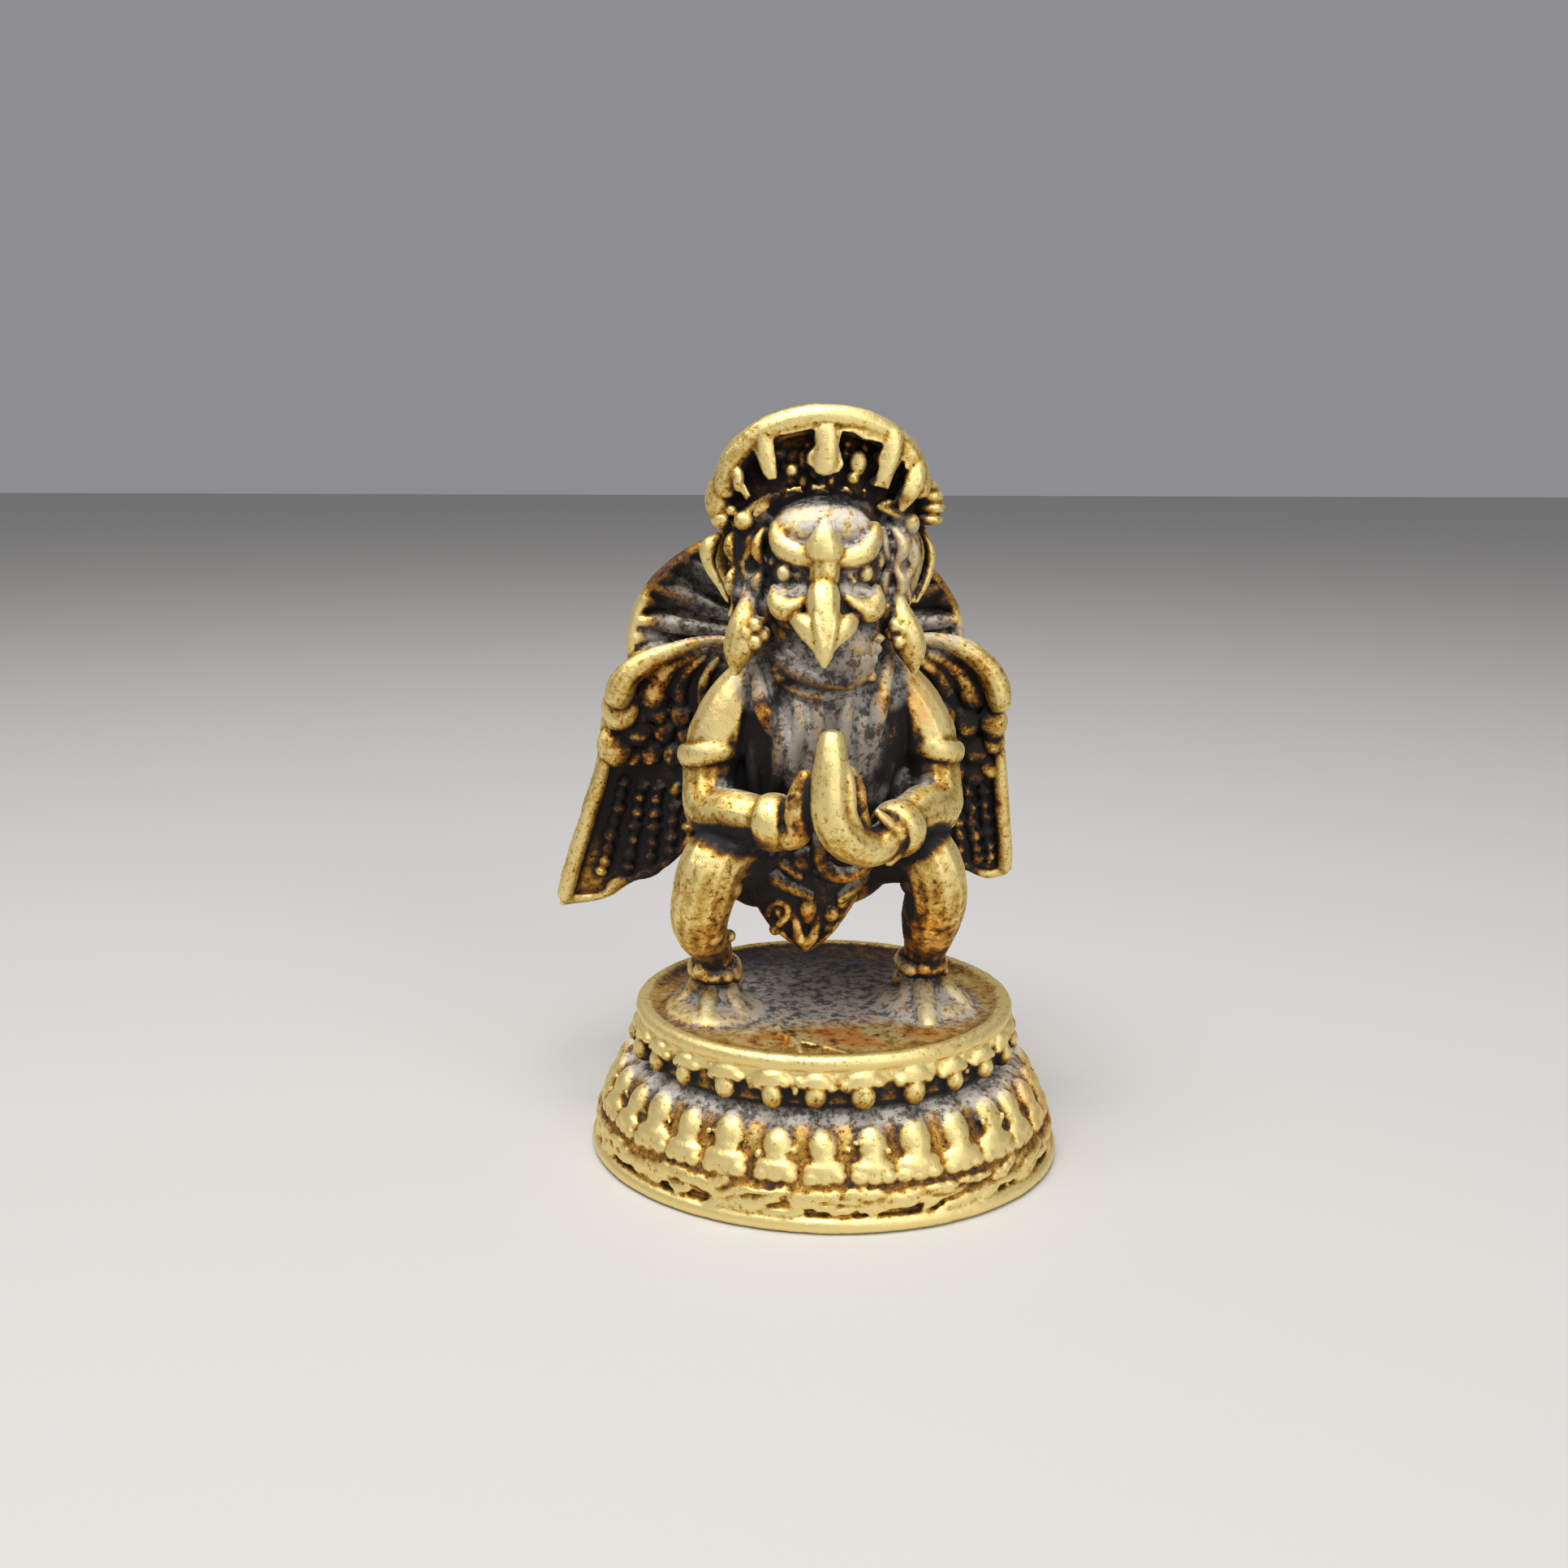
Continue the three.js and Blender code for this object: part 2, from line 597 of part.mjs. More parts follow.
// Five tongues that hang from the crown's rim over its hollowed face.
function tabs() {
  return [0.1, 0.3, 0.5, 0.7, 0.9].map((t) => {
    const length = 7.6 - 6 * Math.abs(t - 0.5);
    const top = crownArch(t, 1.8, -10.5);
    const middle = crownArch(t, 1.8 + length * 0.6, -12.2);
    const tip = crownArch(t, 1.8 + length, -11.6);
    return limb([top, middle, tip], [[2.4, 2], [1.9, 1.8], [2.2, 1.8]], { sides: 4, steps: 2 });
  });
}

// Headband arch under the tongues.
function diadem() {
  return limb(
    [[-14, -6.5, 80.5], [-10.5, -10.5, 84], [-1, -13, 86.4], [8.8, -10.5, 84], [12.6, -6.5, 80.5]],
    [[1.6, 1.8], [1.7, 1.9], [1.7, 1.9], [1.7, 1.9], [1.6, 1.8]], { facing: upward, sides: 4, steps: 6 },
  );
}

// A tall knob at each foot of the crown with a small ball beside it.
function rosettes() {
  return bothSides((side) => unite([
    lump([-0.2 + side * 15.8, -4.5, 84.2], [3, 3, 4], upward, 6),
    lump([-0.8 + side * 12.7, -7.5, 82.6], [2.4, 2.3, 2.6], upward, 5),
  ]));
}

// Fan behind the head: an open dish, pleated from the neck outwards, with a thick raised rim.
function fan() {
  const [centreX, centreZ, halfWidth, halfHeight] = [-2.4, 60, 30.2, 21];
  const [startTurn, sweep] = [-0.06 * Math.PI, 1.12 * Math.PI];
  const pleatDepth = 1.5;
  const rimLift = 2.2;
  const pleats = 8;
  const pointAt = (turn, reach, lift) => figurePoint([
    centreX + halfWidth * reach * Math.cos(turn),
    16 - 3.2 * reach * reach - lift,
    centreZ + halfHeight * reach * Math.sin(turn),
  ]);
  const rows = Array.from({ length: pleats * 2 + 1 }, (_, row) => row);
  const turnOf = (row) => startTurn + (sweep * row) / (pleats * 2);
  const frontRow = (row) => {
    const pleat = row % 2 === 0 ? 0 : pleatDepth;
    return [[0.3, 0], [0.6, pleat], [0.88, pleat], [0.91, rimLift], [0.99, rimLift]].map(([reach, lift]) =>
      pointAt(turnOf(row), reach, lift));
  };
  const backRow = (row) => [0.3, 0.6, 0.86, 0.92, 0.99].map((reach) =>
    pointAt(turnOf(row), reach, -fanThickness / share));
  const stem = lump([-1, 12, 61], [11, 5.5, 9], upward, 7);
  return unite([plateBody(rows.map(frontRow), rows.map(backRow)), stem]);
}

// Wings

// Edges of each wing in shares. The viewer's left wing spreads wider and hangs lower.
const wingEdges = {
  left: {
    top: [[-11, 8, 60.5], [-17.2, 10, 60], [-25.6, 12, 58.6], [-30.8, 13, 56], [-34.4, 14, 52]],
    outer: [[-34.4, 14, 52], [-35.8, 14, 46], [-37, 15, 38], [-40.6, 17.5, 28], [-45.4, 20, 13.6]],
    bottom: [[-18, 12, 28], [-24.5, 15, 19.6], [-31, 18, 16], [-36, 19.5, 12.6], [-45.4, 20, 13.6]],
    inner: [[-11, 8, 60.5], [-13, 9.5, 45], [-18, 12, 28]],
  },
  right: {
    top: [[11, 8, 60.5], [18.6, 10, 60], [26.4, 12, 58], [30.8, 13, 55], [33.6, 14, 50.5]],
    outer: [[33.6, 14, 50.5], [34.8, 14.5, 44], [35.8, 16, 35], [37.2, 18, 26.4], [39.4, 20.5, 16]],
    bottom: [[18, 12, 29], [24, 15, 21], [30, 18, 17], [34.5, 20, 14.4], [39.4, 20.5, 16]],
    inner: [[11, 8, 60.5], [13, 9.5, 45], [18, 12, 29]],
  },
};

// A place on a wing: across from the body to the leading edge, down from the shoulder to the tip,
// and forward of the wing's face by "lift" shares. The face is cupped between its edges.
function wingSurface(edges) {
  const curve = (places) => new THREE.CatmullRomCurve3(places.map((place) => new THREE.Vector3(...place)));
  const [top, outer, bottom, inner] = [edges.top, edges.outer, edges.bottom, edges.inner].map(curve);
  return (across, down, lift = 0) => {
    const place = new THREE.Vector3()
      .addScaledVector(top.getPoint(across), 1 - down)
      .addScaledVector(bottom.getPoint(across), down)
      .addScaledVector(inner.getPoint(down), 1 - across)
      .addScaledVector(outer.getPoint(down), across)
      .addScaledVector(top.getPoint(0), -(1 - across) * (1 - down))
      .addScaledVector(top.getPoint(1), -across * (1 - down))
      .addScaledVector(bottom.getPoint(0), -(1 - across) * down)
      .addScaledVector(bottom.getPoint(1), -across * down);
    const cup = 3 * Math.sin(Math.PI * across) * Math.sin(Math.PI * Math.min(1, down + 0.15));
    return [place.x, place.y + cup - lift, place.z];
  };
}

// Feathering as lift from the wing's face: three rows of scalloped coverts, then flight feathers
// that run down side by side, so each feather is a ridge between two valleys.
function featherLift(column, row, rowDowns) {
  const down = rowDowns[row];
  const ridge = column % 2 === 1;
  if (down > 0.42) {
    return ridge ? 1.6 : 0;
  }
  const covertRow = Math.floor(row / 2);
  const crest = row % 2 === 1;
  const offset = (column + covertRow) % 2 === 1;
  return (crest ? 1.2 : 0.2) + (crest && offset ? 1.4 : 0);
}

function wing(side) {
  const onWing = wingSurface(side < 0 ? wingEdges.left : wingEdges.right);
  const thickness = wingThickness / share;
  const columns = side < 0 ? 9 : 7;
  const rowDowns = [0, 0.14, 0.16, 0.24, 0.26, 0.34, 0.37, 0.46, 0.7, 1];
  const sheet = (liftOf) => rowDowns.map((down, row) => Array.from({ length: columns + 1 }, (_, column) =>
    figurePoint(onWing(column / columns, down, liftOf(column, row)))));
  const blade = plateBody(
    sheet((column, row) => featherLift(column, row, rowDowns)),
    sheet(() => -thickness),
  );
  return unite([blade, leadingRoll(onWing)]);
}

// Thick roll along the top edge that ends in a curl at the bend of the wing.
function leadingRoll(onWing) {
  const places = [0.2, 0.45, 0.7, 0.9, 0.99].map((across) => onWing(across, 0.015, 1.4));
  const bend = [0.1, 0.17].map((down) => onWing(0.97, down, 1.8));
  return limb([...places, ...bend], [[1.8, 2.4], [2, 2.6], [2.1, 2.6], [2.1, 2.6]],
    { sides: 6, steps: 8, blunt: true });
}

function garuda() {
  return unite([
    plinth(),
    ...bothSides(foot),
    ...bothSides(leg),
    torso(),
    ...bothSides(arm),
    hands(),
    head(),
    hair(),
    ...earrings(),
    crown(),
    fan(),
    ...bothSides(wing),
  ]);
}

function toMesh(name, solid, material) {
  const { vertProperties, triVerts } = solid.getMesh();
  const geometry = new THREE.BufferGeometry();
  geometry.setAttribute("position", new THREE.BufferAttribute(vertProperties, 3));
  geometry.setIndex(new THREE.BufferAttribute(triVerts, 1));
  geometry.computeVertexNormals();
  const mesh = new THREE.Mesh(geometry, material);
  mesh.name = name;
  return mesh;
}

const model = new THREE.Group();
model.add(toMesh("garuda_figure", fillBubbles(garuda()), castBrass));

export default model;
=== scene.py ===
import math
import random

import bpy
import numpy as np
from mathutils import Matrix, Vector
from mathutils.bvhtree import BVHTree


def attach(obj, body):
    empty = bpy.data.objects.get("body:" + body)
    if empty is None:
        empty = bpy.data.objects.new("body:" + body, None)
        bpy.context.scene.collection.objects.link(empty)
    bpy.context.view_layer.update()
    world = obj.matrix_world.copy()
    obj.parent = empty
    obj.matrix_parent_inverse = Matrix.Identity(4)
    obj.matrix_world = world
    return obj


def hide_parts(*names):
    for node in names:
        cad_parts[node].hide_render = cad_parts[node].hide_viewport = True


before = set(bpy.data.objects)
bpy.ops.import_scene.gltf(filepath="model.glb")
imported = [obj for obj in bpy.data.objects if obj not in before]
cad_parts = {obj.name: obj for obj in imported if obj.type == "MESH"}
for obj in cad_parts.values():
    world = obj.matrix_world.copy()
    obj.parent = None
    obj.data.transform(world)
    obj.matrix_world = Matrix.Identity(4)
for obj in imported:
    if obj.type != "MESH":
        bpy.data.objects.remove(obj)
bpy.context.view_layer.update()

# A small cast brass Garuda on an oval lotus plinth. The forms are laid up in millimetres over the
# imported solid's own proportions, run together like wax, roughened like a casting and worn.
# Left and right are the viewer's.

random.seed(11)

# The figure's places and sizes are hundredths of its own height, as in the solid
figure = {
    "height": 27.2,  # mm, plinth floor to crown
    "centreX": -0.35,  # mm
    "floor": 7.18,  # mm over the table
}
share = figure["height"] / 100

casting = {
    "voxel": 0.085,  # mm, how finely the forms run together
    "fineVoxel": 0.07,  # mm, on the head and wings
    "rounding": 2, "softening": 2,  # passes
    "waves": 0.07, "waveSize": 1.3,  # mm, unevenness of the wax
    "pits": 0.032, "pitSize": 0.22,  # mm, grain of the mould
    "barEnd": ((0.95, 0.05), (0.7, 0.7)),  # how a bar rounds off: reach past its end and width, in radii
    "triangles": {  # the most that each piece keeps
        "lotus_plinth": 190000, "garuda_body": 190000, "garuda_head": 190000,
        "left_wing": 125000, "right_wing": 115000, "pleated_fan": 80000,
    },
}


def at(x, y, z):
    return Vector((figure["centreX"] + x * share, y * share, figure["floor"] + z * share))


def onlySelect(things):
    bpy.ops.object.select_all(action="DESELECT")
    for thing in things:
        thing.select_set(True)
    bpy.context.view_layer.objects.active = things[0]


def egg(place, half, turn=(0, 0, 0)):  # half sizes in mm, turned in degrees
    bpy.ops.mesh.primitive_uv_sphere_add(
        segments=20, ring_count=12, radius=1, location=place,
        rotation=[math.radians(angle) for angle in turn], scale=half)
    return bpy.context.object


def ball(place, half, turn=(0, 0, 0)):  # the same in shares of the figure
    return egg(at(*place), [size * share for size in half], turn)


def balls(rows):
    return [ball(row[:3], row[3:6] if len(row) > 4 else (row[3],) * 3) for row in rows]


def emptyCurve():
    bpy.ops.object.select_all(action="DESELECT")
    bpy.ops.curve.primitive_bezier_curve_add(location=(0, 0, 0))
    bpy.context.object.data.splines.clear()
    return bpy.context.object.data


# Round bars that swell and taper through (x, y, z, radius) in shares, as one bevelled curve made mesh
def strands(runs, stretch=(1, 1, 1), inShares=True):
    curve = emptyCurve()
    for run in runs:
        knots = []
        for x, y, z, radius in run:
            place = at(x, y, z) if inShares else Vector((x, y, z))
            reach = radius * (share if inShares else 1)
            knots.append((Vector([value / pull for value, pull in zip(place, stretch)]), reach))
        ends = []
        for (place, reach), (inner, _) in ((knots[0], knots[1]), (knots[-1], knots[-2])):
            way = (place - inner).normalized()
            ends.append([(place + way * reach * far, reach * wide) for far, wide in casting["barEnd"]])
        knots = ends[0] + knots + ends[1][::-1]
        spline = curve.splines.new("BEZIER")
        spline.bezier_points.add(len(knots) - 1)
        spline.radius_interpolation = "CARDINAL"
        for knot, (place, radius) in zip(spline.bezier_points, knots):
            knot.co = place
            knot.radius = radius
            knot.handle_left_type = "AUTO"
            knot.handle_right_type = "AUTO"
    curve.dimensions = "3D"
    curve.bevel_depth = 1
    curve.bevel_resolution = 4
    curve.resolution_u = 6
    curve.use_fill_caps = True
    bpy.ops.object.convert(target="MESH")
    bars = bpy.context.object
    bars.scale = stretch
    bpy.ops.object.transform_apply(location=False, rotation=False, scale=True)
    return bars


def closeEnds():
    bpy.ops.mesh.select_all(action="SELECT")
    bpy.ops.mesh.fill_holes(sides=0)
    bpy.ops.mesh.normals_make_consistent(inside=False)
    bpy.ops.object.mode_set(mode="OBJECT")


# A body run up through level oval sections: (x, y, z, half across, half through) in shares
def stack(sections):
    x, y, z, across, through = sections[0]
    bpy.ops.mesh.primitive_circle_add(vertices=24, radius=share, location=at(x, y, z))
    body = bpy.context.object
    bpy.ops.object.mode_set(mode="EDIT")
    bpy.ops.mesh.select_all(action="SELECT")
    bpy.ops.transform.resize(value=(across, through, 1), center_override=at(x, y, z))
    for nextX, nextY, nextZ, nextAcross, nextThrough in sections[1:]:
        step = at(nextX, nextY, nextZ) - at(x, y, z)
        bpy.ops.mesh.extrude_region_move(TRANSFORM_OT_translate={"value": step})
        bpy.ops.transform.resize(value=(nextAcross / across, nextThrough / through, 1),
                                 center_override=at(nextX, nextY, nextZ))
        x, y, z, across, through = nextX, nextY, nextZ, nextAcross, nextThrough
    closeEnds()
    rounding = body.modifiers.new("rounding", "SUBSURF")
    rounding.levels = casting["rounding"]
    rounding.render_levels = casting["rounding"]
    bpy.ops.object.modifier_apply(modifier="rounding")
    return body


# A band round a limb: its middle and the limb's direction in shares, then radius, thickness, width
def ring(place, way, radius, thick, wide):
    bpy.ops.mesh.primitive_torus_add(
        major_radius=radius * share, minor_radius=thick * share, major_segments=40, minor_segments=12,
        location=at(*place), rotation=Vector(way).to_track_quat("Z", "Y").to_euler())
    band = bpy.context.object
    band.scale = (1, 1, wide / thick)
    return band


# A flat outline stood up between two depths, and bowed back by that much at the half width
def plate(outline, front, back, bow, halfWidth):
    curve = emptyCurve()
    spline = curve.splines.new("POLY")
    spline.points.add(len(outline) - 1)
    spline.use_cyclic_u = True
    for point, (x, z) in zip(spline.points, outline):
        place = at(x, 0, z)
        point.co = (place.x, place.z, 0, 1)
    curve.dimensions = "2D"
    curve.fill_mode = "BOTH"
    curve.extrude = (back - front) * share / 2
    bpy.ops.object.convert(target="MESH")
    sheet = bpy.context.object
    for corner in sheet.data.vertices:
        across, up, depth = corner.co
        bend = bow * ((across - figure["centreX"]) / (halfWidth * share)) ** 2
        corner.co = (across, (front + back + bend * 2) * share / 2 - depth, up)
    return sheet


def thickened(sheet, thickness):
    wall = sheet.modifiers.new("wall", "SOLIDIFY")
    wall.thickness = thickness * share
    wall.offset = 0
    bpy.ops.object.modifier_apply(modifier="wall")


def copyOnto(thing, place, facing, lean, size, roll):
    twin = thing.copy()
    twin.data = thing.data.copy()
    bpy.context.collection.objects.link(twin)
    twin.matrix_world = (Matrix.Translation(place) @ Matrix.Rotation(facing, 4, "Z")
                         @ Matrix.Rotation(lean, 4, "X") @ Matrix.Rotation(roll, 4, "Y")
                         @ Matrix.Diagonal((*size, 1)))
    return twin


def joined(name, parts):
    onlySelect(parts)
    bpy.ops.object.join()
    whole = bpy.context.object
    whole.name = name
    whole.data.name = name
    bpy.ops.object.transform_apply(location=True, rotation=True, scale=True)
    return whole


def cluster(name, rows):  # eggs in mm, joined
    return joined(name, [egg(row[:3], row[3:]) for row in rows])


def vary(spread):
    return 1 + random.uniform(-spread, spread)


# Runs the forms of a piece together, then gives it the skin of a casting
def cast(name, forms, voxel=casting["voxel"], waves=casting["waves"]):
    whole = joined(name, forms)
    melt = whole.modifiers.new("melt", "REMESH")
    melt.mode = "VOXEL"
    melt.voxel_size = voxel
    bpy.ops.object.modifier_apply(modifier="melt")
    soft = whole.modifiers.new("soft", "SMOOTH")
    soft.factor = 0.5
    soft.iterations = casting["softening"]
    bpy.ops.object.modifier_apply(modifier="soft")
    for label, size, depth in (("waves", casting["waveSize"], waves),
                               ("pits", casting["pitSize"], casting["pits"])):
        grain = bpy.data.textures.new(label, "CLOUDS")
        grain.noise_scale = size
        grain.noise_depth = 2
        rough = whole.modifiers.new(label, "DISPLACE")
        rough.texture = grain
        rough.texture_coords = "LOCAL"
        rough.strength = depth
        rough.mid_level = 0.5
        bpy.ops.object.modifier_apply(modifier=label)
    faces = sum(len(face.vertices) - 2 for face in whole.data.polygons)
    if faces > casting["triangles"][name]:
        thin = whole.modifiers.new("thin", "DECIMATE")
        thin.ratio = casting["triangles"][name] / faces
        bpy.ops.object.modifier_apply(modifier="thin")
    bpy.ops.object.shade_smooth()
    print(name, "of", len(forms), "forms,", faces, "then", len(whole.data.polygons), "faces")
    return whole


# Lotus plinth

plinth = {
    "length": 22.2, "breadth": 19.5, "turn": -13,  # mm and degrees; the foot's oval is cast askew
    "topWidth": 17.7, "topDepth": 16.3,
    "petals": 30, "petalTurn": 4.2,  # how many, and degrees from the front to the first
    "petalWall": 10.3, "petalFoot": 2.3, "petalLean": 27, "petalSpread": (0.1, 0.08, 0.1),
    "beads": 26, "beadTurn": 5.1,
    "beadWall": 8.62, "beadNeck": 6.02, "beadSpread": (0.16, 0.1, 0.12),
    "crusts": 210, "crustInset": 0.36, "crustLean": -0.3,
    "waves": 0.05,
}
footRatio = plinth["breadth"] / plinth["length"]
topRatio = plinth["topDepth"] / plinth["topWidth"]
footRadius = plinth["length"] / 2
topRadius = plinth["topWidth"] / 2

# Each tier's outline from the table up, as how far it stands in from its radius, and height
footOutline = [(footRadius - inset, height) for inset, height in (
    (0.6, 0), (0.22, 0.02), (0.06, 0.12), (0, 0.3), (0.02, 0.46), (0.1, 0.6), (0.28, 0.7), (0.5, 0.75),
    (0.6, 0.84), (0.54, 0.94), (0.42, 1.06), (0.36, 1.26), (0.36, 1.6), (0.42, 1.86), (0.54, 2.06),
    (0.7, 2.2), (0.8, 2.32), (0.85, 2.45), (1.05, 2.8), (1.27, 3.2), (1.47, 3.6), (1.68, 3.95),
    (1.9, 4.2), (2.2, 4.42), (2.6, 4.58), (3.1, 4.66), (4, 4.7),
)]
topOutline = [(topRadius - inset, height) for inset, height in (
    (0.5, 3.9), (0.55, 4.7), (0.42, 5), (0.26, 5.2), (0.22, 5.8), (0.22, 6.6), (0.2, 6.7), (0.06, 6.76),
    (-0.01, 6.9), (-0.01, 7.08), (0.08, 7.24), (0.26, 7.34), (0.46, 7.35), (0.64, 7.28), (0.78, 7.2),
    (1, 7.17), (4, 7.16),
)] + [(0.6, 7.16)]


def turnedTier(outline, ratio, turn):
    radius, height = outline[0]
    bpy.ops.mesh.primitive_circle_add(vertices=180, radius=radius, location=(0, 0, height))
    tier = bpy.context.object
    bpy.ops.object.transform_apply(location=True)
    bpy.ops.object.mode_set(mode="EDIT")
    bpy.ops.mesh.select_all(action="SELECT")
    for nextRadius, nextHeight in outline[1:]:
        grow = nextRadius / radius
        bpy.ops.mesh.extrude_region_move(TRANSFORM_OT_translate={"value": (0, 0, nextHeight - height)})
        bpy.ops.transform.resize(value=(grow, grow, 1), center_override=(0, 0, nextHeight))
        radius, height = nextRadius, nextHeight
    closeEnds()
    tier.scale = (1, ratio, 1)
    bpy.ops.object.transform_apply(scale=True)
    tier.rotation_euler.z = math.radians(turn)
    bpy.ops.object.transform_apply(rotation=True)
    return tier


# A place on an oval wall at so many degrees from the front, and the way that the wall faces there
def onOval(radius, ratio, turn, degrees, height):
    spin = Matrix.Rotation(math.radians(turn), 3, "Z")
    angle = math.radians(degrees - turn)
    place = spin @ Vector((radius * math.sin(angle), -radius * ratio * math.cos(angle), height))
    out = spin @ Vector((math.sin(angle) * ratio, -math.cos(angle), 0))
    return place, math.atan2(out.x, -out.y)


def plinthForms():
    forms = [
        turnedTier(footOutline, footRatio, plinth["turn"]),
        turnedTier(topOutline, topRatio, 0),
    ]
    step = math.pi * plinth["petalWall"] * (1 + footRatio) / plinth["petals"]  # mm from petal to petal
    petal = cluster("petal", [
        (0, 0.14, 1.4, 0.74, 0.6, 0.94), (0, 0.12, 0.84, 0.66, 0.54, 0.5),
        (0, 0.1, 0.4, step * 0.52, 0.54, 0.56), (-0.56, 0.08, 0.06, 0.5, 0.44, 0.42),
        (0.56, 0.08, 0.06, 0.5, 0.44, 0.42), (0, 0.1, 0, 0.6, 0.44, 0.4),
    ])
    crust = cluster("crust", [
        (0, 0, 0, 0.55, 0.2, 0.2), (0.34, 0, 0.1, 0.4, 0.19, 0.17), (-0.38, 0.02, -0.07, 0.34, 0.18, 0.15),
    ])
    for index in range(plinth["petals"]):
        degrees = plinth["petalTurn"] + 360 * index / plinth["petals"] + random.uniform(-0.8, 0.8)
        place, facing = onOval(plinth["petalWall"], footRatio, plinth["turn"], degrees, plinth["petalFoot"])
        size = [vary(spread) for spread in plinth["petalSpread"]]
        roll = math.radians(random.uniform(-5, 5))
        forms.append(copyOnto(petal, place, facing, -math.radians(plinth["petalLean"]), size, roll))
        for _ in range(2):  # nubs in the gap to the next petal
            wall = plinth["petalWall"] - random.uniform(0.3, 0.5)
            spot = degrees + random.uniform(0.3, 0.7) * 360 / plinth["petals"]
            height = plinth["petalFoot"] + random.uniform(0.5, 1.5)
            nub = random.uniform(0.08, 0.17)
            place, facing = onOval(wall, footRatio, plinth["turn"], spot, height)
            forms.append(egg(place, (nub, nub, nub * vary(0.4))))
    bead = cluster("bead", [
        (0, -0.04, -0.44, 0.5, 0.56, 0.62), (0, 0.04, 0.14, 0.82, 0.46, 0.34),
        (0.02, 0.05, 0.34, 0.66, 0.44, 0.32), (-0.6, 0.06, 0.02, 0.3, 0.4, 0.28),
        (0.6, 0.06, 0.05, 0.32, 0.4, 0.26),
    ])
    for index in range(plinth["beads"]):
        degrees = plinth["beadTurn"] + 360 * index / plinth["beads"] + random.uniform(-1, 1)
        place, facing = onOval(plinth["beadWall"], topRatio, 0, degrees, plinth["beadNeck"])
        size = [vary(spread) for spread in plinth["beadSpread"]]
        forms.append(copyOnto(bead, place, facing, 0, size, math.radians(random.uniform(-10, 10))))
        for _ in range(3):  # crumbs in the gap to the next bead
            spot = degrees + random.uniform(3, 11)
            height = plinth["beadNeck"] + random.uniform(-0.3, 0.5)
            crumb = random.uniform(0.1, 0.24)
            place, facing = onOval(plinth["beadWall"], topRatio, 0, spot, height)
            forms.append(egg(place, (crumb * vary(0.4), crumb * 1.2, crumb * vary(0.4))))
    for index in range(plinth["crusts"]):  # the band over the foot ring is a crust of broken lumps
        degrees = 360 * (index + random.random()) / plinth["crusts"]
        height = random.uniform(0.82, 1.75)
        wall = footRadius - plinth["crustInset"]
        place, facing = onOval(wall, footRatio, plinth["turn"], degrees, height)
        size = (vary(0.5), random.uniform(0.5, 1), vary(0.4))
        roll = math.radians(random.uniform(-16, 16))
        forms.append(copyOnto(crust, place, facing, plinth["crustLean"], size, roll))
    for pattern in (petal, bead, crust):
        bpy.data.objects.remove(pattern, do_unlink=True)
    return forms


# Feet: three toes and a spur, each foot a little different

feet = {
    "left": {"side": -1, "toes": [(-24.4, -4, -1.2), (-20, -12.2, -0.9), (-13.4, -10.6, -1.3)]},
    "right": {"side": 1, "toes": [(12.6, -9.6, -1.2), (16.8, -14.6, -0.7), (24.6, -9, -1.2)]},
    "ankle": (17.8, -0.6), "lumps": 44,
}


def footForms(foot):
    side = foot["side"]
    ankle = (side * feet["ankle"][0], feet["ankle"][1])
    toes = []
    for x, y, z in foot["toes"]:
        knuckle = ((ankle[0] + x * 2) / 3, (ankle[1] + y * 2) / 3)
        toes.append([(*ankle, 4, 2.6), (*knuckle, 1.1, 2 * vary(0.2)), (x, y, z, 1.9 * vary(0.15))])
    spur = [(*ankle, 3, 2.2), (side * 19, 8, 0, 1.4)]
    lumps = []
    for _ in range(feet["lumps"]):
        turn, reach = random.uniform(0, 2 * math.pi), random.uniform(0.2, 1.1)
        size = random.uniform(0.5, 1.4)
        place = (side * 18 + 7.6 * reach * math.sin(turn), -4 - 8.6 * reach * math.cos(turn),
                 1.9 - 2.6 * reach)
        lumps.append(ball(place, (size * vary(0.4), size * vary(0.4), size * 0.6)))
    return [
        strands([*toes, spur]),
        *balls([(side * 18, -4.2, -0.8, 9.2, 10.2, 3), (side * 17.9, -1.2, 2.2, 4.9, 5, 4)]),
        *lumps,
    ]


def floorForms():
    vein = [(-1.9, -6.9, 7.16, 0.09), (-2.05, -5.6, 7.18, 0.16), (-2.6, -4.6, 7.17, 0.12),
            (-2.2, -2.7, 7.14, 0.11), (-1.5, -0.6, 7.12, 0.08), (-0.6, 3, 7.1, 0.07)]
    branch = [(-2.05, -5.6, 7.17, 0.12), (-1.1, -6.2, 7.16, 0.15), (0.1, -7.2, 7.14, 0.09)]
    return [strands([vein, branch], inShares=False)]


# Legs, apron and trunk

legs = {
    "left": {"side": -1, "knee": -19.5, "shin": -20.6, "calf": 4.6, "ankle": 3.4,
             "lumps": [(-15.7, -6.4, 13.4, 1.1)]},
    "right": {"side": 1, "knee": 17.4, "shin": 18, "calf": 5, "ankle": 3.8, "lumps": []},
}
ankleBand = {
    "middle": (17.9, -1.8, 6.4), "radius": 3.8, "thick": 0.9, "wide": 1.2,
    "studs": (-1.9, -1.3, -0.7, -0.1, 0.5, 1.1, 1.8),  # radians from the front
}


